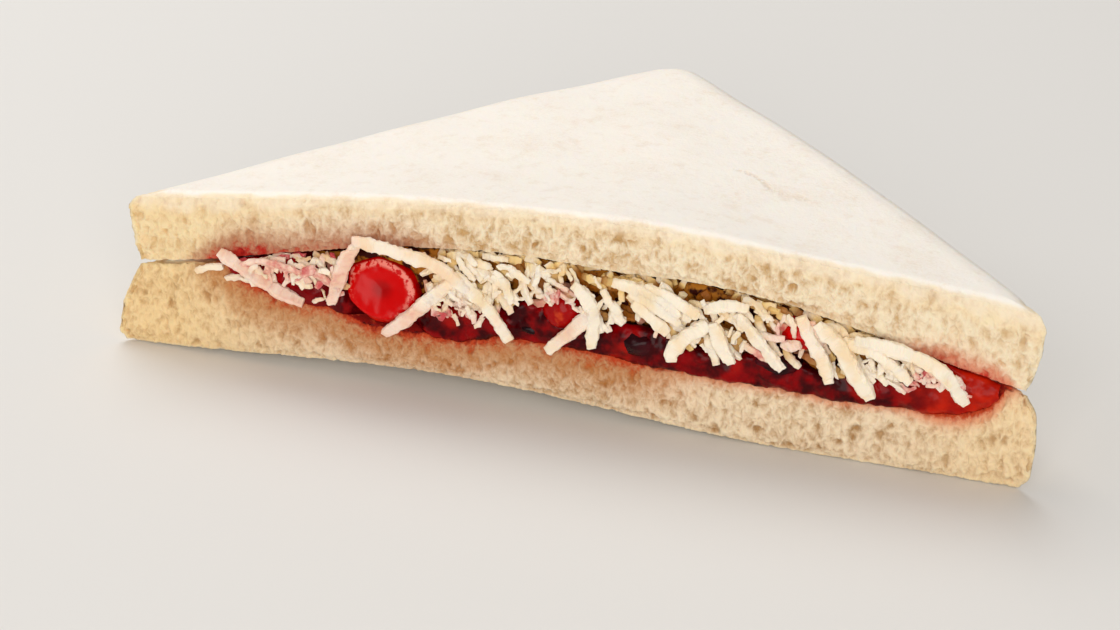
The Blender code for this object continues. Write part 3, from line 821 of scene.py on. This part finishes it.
red_skin = berry_material(
    "red_berry", paint(214, 10, 10), paint(158, 2, 6), paint(206, 0, 4), paint(244, 140, 124),
    paint(204, 70, 34),
)
dark_skin = berry_material(
    "dark_berry", paint(74, 8, 22), paint(34, 3, 12), paint(74, 8, 22), paint(74, 8, 22),
    paint(58, 5, 16),
)
for berry in BERRIES:
    dark = "dark" in berry[0]
    piece = berry_mesh("cooked_" + berry[0], *berry[1:])
    piece.data.materials.append(dark_skin if dark else red_skin)
    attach(piece, "root")
    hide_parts(berry[0])

# The cheese. Finely grated soft white cheese, packed on the jam and pressed together by the upper
# slice. The knife drags loose shreds down over the jam along the cut; jam tints the lowest.
CHEESE_SLOT = 0.5 * MM
CHEESE_FROM_GAP = 7.8 * MM
CHEESE_RIGHT_END = 48 * MM
CORE_ROWS = 60
CORE_STEPS = 6
CORE_SET_BACK = 1.6 * MM
# Each shred: its width, the jam it shows, and its points along and up the cut, in millimetres.
LYING_SHREDS = [
    (1.8, 0.5, [(-51.6, 18.0), (-49.0, 16.7), (-45.0, 14.6), (-41.0, 13.0), (-38.6, 12.3)]),
    (1.4, 0.6, [(-48.6, 16.3), (-45.6, 17.6), (-41.6, 17.5), (-39.0, 17.0)]),
    (1.4, 0.7, [(-40.8, 15.6), (-36.8, 18.2)]),
    (1.4, 0.6, [(-37.8, 17.6), (-33.2, 15.2)]),
]
HANGING_SHREDS = [
    (2.0, 0.5, [(-31.0, 22.6), (-32.3, 20.4), (-33.4, 17.0), (-34.4, 12.8)]),
    (2.0, 0.55, [(-31.6, 23.2), (-24.8, 22.6), (-18.6, 21.2), (-14.2, 18.4)]),
    (1.8, 0.2, [(-16.4, 20.8), (-13.4, 18.0), (-10.9, 15.8), (-7.8, 11.6)]),
    (2.0, 0.5, [(-16.6, 19.4), (-20.4, 15.4), (-23.4, 12.0), (-26.4, 9.4)]),
    (1.9, 0.3, [(0.9, 22.0), (2.6, 20.4), (4.2, 18.0), (4.3, 15.6), (4.2, 12.6)]),
    (2.0, 0.4, [(4.6, 18.6), (1.2, 14.6), (-2.2, 11.0)]),
    (1.4, 0.2, [(-9.4, 21.0), (-7.6, 17.6)]),
    (1.7, 0.1, [(6.5, 23.2), (10.5, 22.6), (14.3, 21.2), (16.4, 19.6)]),
    (1.7, 0.1, [(11.0, 23.0), (15.0, 22.2), (19.2, 20.2)]),
    (1.7, 0.1, [(8.9, 22.0), (12.8, 20.8), (16.4, 18.6)]),
    (1.6, 0.1, [(9.6, 20.4), (12.5, 18.6), (15.0, 16.8)]),
    (2.3, 0.1, [(20.6, 19.0), (17.8, 16.8), (15.8, 14.2), (15.8, 12.6)]),
    (2.3, 0.1, [(21.0, 19.4), (22.8, 16.0), (24.4, 13.7)]),
    (1.9, 0.1, [(24.4, 21.2), (28.4, 17.2), (31.6, 14.0)]),
    (1.5, 0.1, [(19.8, 21.0), (22.8, 22.4), (26.0, 22.6)]),
    (2.0, 0.3, [(33.2, 22.4), (35.1, 19.2), (37.2, 16.2), (38.3, 13.2)]),
    (1.6, 0.5, [(31.2, 17.4), (33.8, 18.4)]),
    (2.4, 0.1, [(35.6, 21.6), (39.0, 19.0), (41.3, 15.8), (44.2, 11.8)]),
    (1.7, 0.1, [(39.4, 20.0), (44.2, 18.6), (47.2, 17.0), (49.4, 15.2)]),
    (2.0, 0.1, [(41.0, 20.2), (47.4, 19.6), (52.4, 18.2), (55.2, 16.0), (57.4, 13.2)]),
]
SEAM_SHREDS = [
    (1.1, 0.25, [(-55.6, 13.7), (-53.8, 14.8), (-51.2, 15.3)]),
    (1.1, 0.3, [(-50.8, 13.4), (-49.0, 13.9), (-47.0, 13.6)]),
]
SHRED_OUT = (1.3, 1.9)
SEAM_SHRED_OUT = (0.25, 0.35)
SHRED_FLATNESS = 0.55
SHRED_RAGGEDNESS = 0.8 * MM
LEAN_OF_SHREDS = -42
SHRED_SEED = 7
PACKED_SPAN = (-19, 50)
LEFT_END_SPAN = (-48, -33.5)
BY_HALVED_BERRY_SPAN = (-20.5, -9)
RIGHT_END_SPAN = (46, 57)
CLOTTED_SPAN = (-20, -11)
BURST_BERRY_SPAN = (-3, 3)
SOME_JAM = (0.2, 0.6)
# Each layer: a count and a span, then depths, widths, lengths, the spread of the lean and the hang,
# and where they differ from the usual, the jam it shows, the drop and its share of the height.
PACKED_LAYERS = [
    (70, PACKED_SPAN, (1.4, 2.8), (1.1, 1.6), (4, 9), 40, 0.0),
    (80, PACKED_SPAN, (0.2, 1.4), (1.0, 1.5), (3, 7), 30, 0.6),
    (78, PACKED_SPAN, (-1.1, -0.1), (0.8, 1.35), (2.2, 5.0), 24, 1.5),
    (100, PACKED_SPAN, (-1.3, -0.2), (0.55, 0.9), (1.2, 2.4), 60, 1.2),
    (80, PACKED_SPAN, (-0.4, 2.6), (0.9, 1.4), (2.0, 4.5), 45, 0.0, (0.0, 0.3), 0.0, (0.8, 1.05)),
    (46, LEFT_END_SPAN, (-0.8, 1.0), (0.7, 1.1), (1.4, 3.5), 55, 0.0, (0.1, 0.95)),
    (36, LEFT_END_SPAN, (-1.9, -0.9), (0.6, 1.0), (1.2, 2.8), 50, 5.0, (0.0, 0.8), 4.0),
    (40, BY_HALVED_BERRY_SPAN, (-0.9, 1.0), (0.7, 1.2), (1.4, 4.0), 50, 0.8, (0.3, 0.9)),
]
JAMMY_LAYERS = [
    (34, RIGHT_END_SPAN, (-1.9, -1.0), (0.5, 0.8), (1.4, 3.0), 35, 3.5, (0.7, 1.7), 4.0),
    (44, CLOTTED_SPAN, (-2.0, -1.2), (0.5, 0.85), (1.2, 2.6), 50, 2.4, SOME_JAM, 2.6, (0.0, 0.6)),
    (16, BURST_BERRY_SPAN, (-1.8, -0.9), (0.5, 0.85), (1.2, 2.4), 50, 0.5, (0.2, 0.8), 0.0, (0.15, 0.6)),
]
BAND_ENDS = (-60, 62)
BAND_DEPTH = 0.8 * MM
BELOW_SLICE = 0.7
TINT_DEPTH = 0.6 * MM
ROUTE_STEP = 1.0
SHRED_STEP = 0.36 * MM
SHORTEST_SHRED = 1.2
BEHIND_BERRIES = 1.2
CORE_LUMP = 1.3 * MM
CORE_LUMP_HEIGHT = 0.5 * MM
# Each patch of jam: its place along and up the cut, its reach and how much it covers.
MUSHY_PATCHES = [(-0.4, 19.9, 3.6, 0.62), (31.2, 19.4, 3.2, 0.8), (-15.5, 15.5, 3.6, 0.5)]
BARE_HOLLOW = (17.8, 23.5, 3.9, 1.25)


def cheese_top(x, y):
    """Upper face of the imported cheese, just short of the slice above."""
    slot = CHEESE_SLOT + abs(wave(x, y, 5 * MM, 0.8 * MM, 8.0))
    return top_slice_bottom(x, y) - CLEARANCE - slot


def core_place(shares, level, walled):
    """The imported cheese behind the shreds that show."""
    x, y = outline_point(shares, SEAM_INSETS)
    low = jam_top(x, y) - CLEARANCE
    z = low + (cheese_top(x, y) - low) * level
    y += CORE_SET_BACK * max(1 - shares[2] * CORE_ROWS / 3, 0.0)
    return (x, y, z), ()


def cheese_region(x, y):
    """Where there is room for cheese between the jam and the slice above."""
    x, y = outline_point(shares_of(x, y), SEAM_INSETS)
    return gap(x, y) > CHEESE_FROM_GAP and x < CHEESE_RIGHT_END


def shred_tree():
    """Turns marked lines into grated strips: flat, with ragged edges and torn ends."""
    tree, board, given = new_tree(
        "Grated strips",
        {"Step": "Float", "Flatness": "Float", "Raggedness": "Float", "Finish": "Material"},
    )
    lines = board.add("GeometryNodeMeshToCurve", None, {"Mesh": given})
    sockets = {"Curve": lines, "Length": given.other("Step")}
    even = board.add("GeometryNodeResampleCurve", {"mode": "LENGTH"}, sockets)
    sockets = {"Curve": even, "Normal": board.named("face", "FLOAT_VECTOR")}
    turned = board.add("GeometryNodeSetCurveNormal", {"mode": "FREE"}, sockets)
    sockets = {"Width": given.other("Flatness"), "Height": 1.0}
    section = board.add("GeometryNodeCurvePrimitiveQuadrilateral", None, sockets)
    sockets = {"Curve": section, "Count": 1, "Radius": 0.14}
    rounded = board.add("GeometryNodeFilletCurve", {"mode": "POLY"}, sockets)
    strip = board.add(
        "GeometryNodeCurveToMesh", None,
        {"Curve": turned, "Profile Curve": rounded, "Scale": board.named("width"), "Fill Caps": True},
    )
    place = board.add("GeometryNodeInputPosition")
    tear = board.noise(place, 1500.0, 2.0, "Color", Roughness=0.6)
    bend = board.noise(place, 260.0, 1.0, "Color")
    ragged = given.other("Raggedness")
    torn = board.vector("SCALE", board.vector("SUBTRACT", tear, (0.5, 0.5, 0.5)), scale=ragged)
    bent = board.vector("SCALE", board.vector("SUBTRACT", bend, (0.5, 0.5, 0.5)), scale=ragged * 0.6)
    offset = board.vector("ADD", torn, bent)
    moved = board.add("GeometryNodeSetPosition", None, {"Geometry": strip, "Offset": offset})
    flat = board.add("GeometryNodeSetShadeSmooth", None, {"Geometry": moved, "Shade Smooth": False})
    finish_tree(board, given, flat)
    return tree


def tint_at(x, z, soak):
    """How much jam a shred has taken up at a place on the cut, in millimetres."""
    above = z - jam_top(x * MM, FRONT_Y + TINT_DEPTH) / MM
    near_jam = 1 - smooth((above + 1.0) / 2.6)
    beside = 0.0
    for _, (along, height, _), sizes, _ in BERRIES:
        distance = math.hypot((x - along) / (sizes[0] + 1.2), (z - height) / (sizes[2] + 1.2))
        beside = max(beside, 1 - smooth((distance - 0.8) / 0.7))
    left = 1 - smooth((x + 33) / 6)
    smeared = 1.6 * near_jam * hill(x, -24, -18, -10, -5)
    mushy = max(
        amount * (1 - smooth(math.hypot(x - along, z - height) / reach))
        for along, height, reach, amount in MUSHY_PATCHES
    )
    return max(soak * max(0.5 * near_jam, beside, left, smeared), mushy)


def in_hollow(x, z):
    """Whether a place on the cut is in the hollow below the upper slice that no shred fills."""
    along, height, half_length, half_height = BARE_HOLLOW
    return math.hypot((x - along) / half_length, (z - height) / half_height) < 1


def catmull_rom(before, here, after, beyond, t):
    """A point on the smooth curve that passes through here at t = 0 and after at t = 1."""
    bend = 2 * before - 5 * here + 4 * after - beyond
    twist = 3 * here - before - 3 * after + beyond
    return (2 * here + t * (after - before) + t * t * bend + t * t * t * twist) / 2


def smooth_route(knots, step):
    """Points along the smooth curve through the knots, about a step apart."""
    route = []
    for i in range(len(knots) - 1):
        near = [min(max(i + k, 0), len(knots) - 1) for k in (-1, 0, 1, 2)]
        before, here, after, beyond = (knots[k] for k in near)
        count = max(1, round((after - here).length / step))
        route += [catmull_rom(before, here, after, beyond, s / count) for s in range(count)]
    return route + [knots[-1]]


class ShredLines:
    """The middle lines of shreds, in millimetres, collected before they become strips."""

    def __init__(self):
        self.points = []
        self.edges = []
        self.widths = []
        self.faces = []
        self.tints = []
        self.shades = []

    def add(self, width, knots, draw, soak=0.45, least=0.0):
        """Adds one shred through these knots, turned a little about its own length.

        soak is how much of the jam around it shows in it, and least is the tint it has anyway.
        Its painted shade grows with its depth and below the upper slice. It is broken off in the hollow.
        """
        route = smooth_route(knots, ROUTE_STEP)
        turn = math.radians(draw.gauss(0, 22))
        first = len(self.points)
        for i, point in enumerate(route):
            ahead = (route[min(i + 1, len(route) - 1)] - route[max(i - 1, 0)]).normalized()
            face = Vector((0.0, -1.0, 0.0))
            face = (face - ahead * face.dot(ahead)).normalized()
            end = min(i, len(route) - 1 - i) / max(len(route) - 1, 1)
            self.points.append((point.x * MM, FRONT_Y + point.y * MM, point.z * MM))
            self.widths.append(width * MM * (0.7 + 0.3 * smooth(end / 0.2)) * draw.uniform(0.84, 1.16))
            self.faces.append(Matrix.Rotation(turn, 3, ahead) @ face)
            self.tints.append(max(tint_at(point.x, point.z, soak), least))
            # Painted shade: grows with depth behind the cut and under the upper slice.
            below = band_at(point.x)[1] - point.z
            self.shades.append(smooth((min(point.y, 1.2 * below) + 0.7) / 1.8))
        shown = [i for i in range(len(route) - 1) if not in_hollow(route[i].x, route[i].z)]
        self.edges += [(first + i, first + i + 1) for i in shown]

    def piece(self, name):
        """The lines as one object whose points carry width, tint, painted shade and face."""
        mesh = bpy.data.meshes.new(name)
        mesh.from_pydata(self.points, self.edges, [])
        for key, values in (("width", self.widths), ("tint", self.tints), ("shade", self.shades)):
            mesh.attributes.new(key, "FLOAT", "POINT").data.foreach_set("value", values)
        flat = [value for face in self.faces for value in face]
        mesh.attributes.new("face", "FLOAT_VECTOR", "POINT").data.foreach_set("vector", flat)
        return in_scene(name, mesh)


def band_at(x):
    """Lowest and highest height of the cheese at the cut, in millimetres."""
    x = min(max(x, BAND_ENDS[0]), BAND_ENDS[1]) * MM
    y = FRONT_Y + BAND_DEPTH
    return jam_top(x, y) / MM, top_slice_bottom(x, y) / MM - BELOW_SLICE


def named_shreds(lines, draw):
    """The shreds that stand out, each where it lies in the sandwich."""
    shreds = [(SHRED_OUT, shred) for shred in LYING_SHREDS + HANGING_SHREDS]
    shreds += [(SEAM_SHRED_OUT, shred) for shred in SEAM_SHREDS]
    for (first, last), (width, soak, points) in shreds:
        count = len(points) - 1
        knots = [
            Vector((x, -(first + (last - first) * i / count), z)) for i, (x, z) in enumerate(points)
        ]
        lines.add(width, knots, draw, soak, soak / 2)


def over_berry(x, z):
    """Whether a shred here would hide one of the berries that show."""
    for name, (along, height, _), sizes, _ in BERRIES:
        if "dark" not in name and math.hypot((x - along) / sizes[0], (z - height) / sizes[2]) < 0.85:
            return True
    return False


def packed_shreds(
    lines, draw, count, span, depths, widths, lengths, spread, hang, soaks=SOME_JAM, drop=0.0,
    share=(0.0, 1.0),
):
    """A layer of shreds along part of the cut, between two depths, most leaning down to the right.

    spread is how many degrees their lean varies, and hang how far their ends may reach below the
    cheese. drop is how far the layer starts below it, and share the part of its height it fills.
    """
    for i in range(count):
        x = span[0] + (span[1] - span[0]) * (i + draw.random()) / count
        low, high = band_at(x)
        bottom = low + 0.4 - drop
        z = bottom + (high - bottom) * draw.uniform(*share)
        lean = math.radians(LEAN_OF_SHREDS + draw.gauss(0, spread))
        length = draw.uniform(*lengths)
        ahead = Vector((math.cos(lean), 0.0, math.sin(lean)))
        bend = Vector((-math.sin(lean), 0.0, math.cos(lean))) * draw.uniform(-0.12, 0.12) * length
        depth = draw.uniform(*depths)
        out = draw.uniform(0.0, 0.8)
        start = Vector((x, depth + out, z)) - ahead * length * 0.5
        middle = Vector((x, depth, z)) + bend
        end = Vector((x, depth - out * 0.4, z)) + ahead * length * 0.5
        knots = [start, middle, end]
        for knot in knots:
            floor, ceiling = band_at(knot.x)
            knot.z = min(max(knot.z, floor - hang * draw.random()), ceiling + 0.2)
        width, soak = draw.uniform(*widths), draw.uniform(*soaks)
        in_front = depth < BEHIND_BERRIES
        if (start - end).length > SHORTEST_SHRED and not (in_front and over_berry(x, z)):
            lines.add(width, knots, draw, soak)


def cheese_material():
    """Waxy cream cheese, a little deeper in patches, pink where it has taken up jam.

    Strands deep in the heap and under the upper slice get painted shade: warm ochre, then dark brown.
    """
    material, board, shader = new_material(
        "grated_cheese", 0.5, 0.2, (0.9, 0.6, 0.3), Specular_IOR_Level=0.2
    )
    place = board.here()
    tint = board.attribute("tint")
    shade = board.attribute("shade")
    patch = board.noise(place, 260.0, 2.0)
    grain = board.noise(place, 1300.0, 3.0)
    front = board.mix(patch.ramp(0.4, 0.7), paint(252, 238, 217), paint(248, 222, 184))
    # Painted shade: deeper strands turn warm ochre, then dark brown.
    behind = board.mix(shade.ramp(0.0, 0.55), front, paint(244, 206, 136))
    shaded_cheese = board.mix(shade.ramp(0.45, 1.0), behind, paint(156, 92, 26))
    tinged = (tint + (patch - 0.5) * 1.1 * tint + (grain - 0.5) * 0.8 * tint).ramp(0.12, 0.95)
    pink = board.mix(tinged.ramp(0.5, 1.0), paint(240, 178, 164), paint(204, 80, 86))
    connect(board, board.mix(tinged, shaded_cheese, pink), shader, "Base Color")
    roughen(board, shader, 0.4, 0.15 * MM, grain)
    return material


def core_material():
    """Pressed cheese seen between the shreds, in their shade, which is painted as dark brown and deep
    ochre patches.
    """
    material, board, shader = new_material(
        "pressed_cheese", 0.6, 0.15, (1.5, 0.8, 0.4), Specular_IOR_Level=0.1
    )
    # Painted shade: random patches of dark brown and deep ochre.
    gap_shade = board.noise(board.here(), 520.0, 3.0)
    body = board.mix(gap_shade.ramp(0.46, 0.6), paint(58, 16, 6), paint(182, 116, 40))
    connect(board, body, shader, "Base Color")
    return material


core = layered_mesh("cheese_packed", CORE_ROWS, (3, 1), CORE_STEPS, cheese_region, core_place)
run_tree(core, fruit_lumps, Lump=CORE_LUMP, Lump_Height=CORE_LUMP_HEIGHT, Finish=core_material())
draw = random.Random(SHRED_SEED)
lines = ShredLines()
for layer in PACKED_LAYERS:
    packed_shreds(lines, draw, *layer)
named_shreds(lines, draw)
for layer in JAMMY_LAYERS:
    packed_shreds(lines, draw, *layer)
shreds = lines.piece("cheese_shreds")
run_tree(
    shreds, shred_tree(), Step=SHRED_STEP, Flatness=SHRED_FLATNESS, Raggedness=SHRED_RAGGEDNESS,
    Finish=cheese_material(),
)
for piece in (core, shreds):
    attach(piece, "root")
    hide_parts("cheese")

# The upper slice. The same bread, laid over the filling, which lifts it in the middle; it is
# pinched onto the lower slice along both trimmed sides, and its sliced face is smooth and pale.
TOP_HEIGHTS = (24.4 * MM, 27.7 * MM, 29.1 * MM)
SWELL_ALONG_CUT = 5.6 * MM
SWELL_LEFT_SIDE = 1.1 * MM
SWELL_RIGHT_SIDE = 1.4 * MM
TOP_WALLS = [
    (0, SEAM_INSETS),
    (0.15, (1.6 * MM, 0.7 * MM, 0.1 * MM)),
    (0.5, (1.3 * MM, 0.3 * MM, 0.0)),
    (0.88, (0.5 * MM, 0.0, 0.2 * MM)),
    (1, (0.9 * MM, 0.5 * MM, 0.9 * MM)),
]
TOP_STEPS = 56
TOP_PORE = 1.6 * MM
TOP_PORE_DEPTH = 0.7 * MM
TOP_HOLE_DEPTH = 0.6 * MM
TOP_SEED = 11.0
TOP_SOFT_RIM = 0.6
# Each crease: its start, end, width and bow in millimetres, and its strength.
TOP_CREASES = [
    ((19.4, -3.9), (24.4, -8.4), 0.85, 0.8, 0.3),
    ((24.8, -9.2), (26.8, -10.4), 2.2, 0.2, 0.16),
    ((28.4, -10.3), (29.3, -10.8), 1.5, 0.0, 0.24),
]


def top_slice_top(x, y):
    """Upper face of the upper slice."""
    left, right, back = shares_of(x, y)
    height = sum(share * top for share, top in zip((left, right, back), TOP_HEIGHTS))
    height += SWELL_ALONG_CUT * max(4 * left * right, 0.0) ** 1.3
    height += SWELL_LEFT_SIDE * 27 / 4 * left * back * back + SWELL_RIGHT_SIDE * 4 * right * back
    return height + wave(x, y, 17 * MM, 0.45 * MM, 3.0)


def top_stain_and_shade(x, y, height, thickness):
    """Jam tinges the lower edge of the upper slice at both ends of the filling; the tinge fading up from
    that edge is partly painted shade.
    """
    along = x / MM
    reach = 0.7 + 3.1 * hill(along, -60, -50, -28, -8) + 1.6 * hill(along, 44, 54, 60, 66)
    amount = 0.6 * hill(along, -62, -50, -32, -8) + 0.26 * hill(along, -58, -53, -49, -42)
    amount += 0.7 * hill(along, 40, 56, 61, 66)
    behind = 1 - smooth((y - FRONT_Y) / (12 * MM))
    return amount * behind * math.exp(-((height / MM / reach) ** 1.4))


top_slice = layered_mesh(
    "slice_top", SLICE_ROWS, SLICE_CUTS, TOP_STEPS, everywhere,
    slice_place(top_slice_bottom, top_slice_top, TOP_WALLS, 9.0, top_stain_and_shade, TOP_SOFT_RIM),
    ("cut", "stain_and_shade"), True,
)
top_crumb = crumb_material(
    "bread_crumb_top", TOP_PORE, TOP_SEED, paint(251, 233, 202), paint(202, 162, 108),
    paint(253, 244, 234), (0.4, 0.05),
    (paint(180, 110, 76), paint(220, 120, 86), paint(200, 56, 44), paint(150, 16, 16)), TOP_CREASES,
)
run_tree(
    top_slice, crumb_relief, Pore=TOP_PORE, Pore_Depth=TOP_PORE_DEPTH, Hole=HOLE,
    Hole_Depth=TOP_HOLE_DEPTH, Seed=TOP_SEED, Finish=top_crumb,
)
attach(top_slice, "root")
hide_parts("bread_top")

# The studio. A plain pale floor that runs out of sight, soft light from above and a weaker fill
# from the front, and the camera at the photograph's viewing angle.
FLOOR_HALF = 1.2
FLOOR_DROP = 0.1 * MM
CAMERA_TARGET = Vector((-8.30, 1.99, -1.79)) * MM
CAMERA_DISTANCE = 464.4 * MM
CAMERA_YAW = math.radians(-12.24)
CAMERA_PITCH = math.radians(27.42)
CAMERA_ROLL = math.radians(3.44)
SENSOR_WIDTH = 36.0
FOCAL_PIXELS = 3000.0
IMAGE_WIDTH = 1120.0
LIT_POINT = Vector((0.0, 0.0, 0.015))
WORLD_COLOUR = (1.0, 0.985, 0.965, 1.0)
WORLD_STRENGTH = 0.36
# Each light: its name, place, size, power and colour.
LIGHTS = [
    ("key_light", (-0.25, 0.30, 0.75), 0.6, 3.5, (1.0, 0.98, 0.95)),
    ("fill_light", (0.15, -0.95, 0.35), 0.7, 5.6, (1.0, 0.975, 0.94)),
    ("side_light", (-0.85, 0.05, 0.35), 0.5, 1.9, (1.0, 0.98, 0.96)),
]


def studio_floor():
    """A pale floor with a faint unevenness of tone."""
    bm = bmesh.new()
    bmesh.ops.create_grid(bm, x_segments=8, y_segments=8, size=FLOOR_HALF)
    piece = piece_from(bm, "studio_floor")
    piece.data.transform(Matrix.Translation((0.0, 0.0, -FLOOR_DROP)))
    material, board, shader = new_material("studio_floor", 0.8, 0.0, (1.0, 1.0, 1.0))
    tone = board.noise(board.here(), 3.0, 1.0)
    connect(board, board.mix(tone, paint(226, 224, 221), paint(230, 228, 225)), shader, "Base Color")
    piece.data.materials.append(material)
    return piece


def studio_light(name, place, size, power, colour):
    """A square soft light that faces the sandwich."""
    lamp = bpy.data.lights.new(name, "AREA")
    lamp.shape = "SQUARE"
    lamp.size = size
    lamp.energy = power
    lamp.color = colour
    stand = in_scene(name, lamp)
    stand.location = place
    stand.rotation_euler = (LIT_POINT - Vector(place)).to_track_quat("-Z", "Y").to_euler()


studio_floor()
for light in LIGHTS:
    studio_light(*light)
world = bpy.data.worlds.new("studio")
bpy.context.scene.world = world
world.use_nodes = True
background = world.node_tree.nodes["Background"]
background.inputs["Color"].default_value = WORLD_COLOUR
background.inputs["Strength"].default_value = WORLD_STRENGTH

looking = Vector((
    math.sin(CAMERA_YAW) * math.cos(CAMERA_PITCH),
    math.cos(CAMERA_YAW) * math.cos(CAMERA_PITCH),
    -math.sin(CAMERA_PITCH),
))
level_right = looking.cross(Vector((0.0, 0.0, 1.0))).normalized()
level_up = level_right.cross(looking)
right = level_right * math.cos(CAMERA_ROLL) + level_up * math.sin(CAMERA_ROLL)
up = level_up * math.cos(CAMERA_ROLL) - level_right * math.sin(CAMERA_ROLL)
lens = bpy.data.cameras.new("camera")
lens.sensor_width = SENSOR_WIDTH
lens.lens = FOCAL_PIXELS / IMAGE_WIDTH * SENSOR_WIDTH
lens.clip_start = 0.01
lens.clip_end = 10.0
camera = in_scene("camera", lens)
turn = Matrix((right, up, -looking)).transposed()
camera.matrix_world = Matrix.Translation(CAMERA_TARGET - looking * CAMERA_DISTANCE) @ turn.to_4x4()
bpy.context.scene.camera = camera
bpy.context.scene.view_settings.view_transform = "Standard"
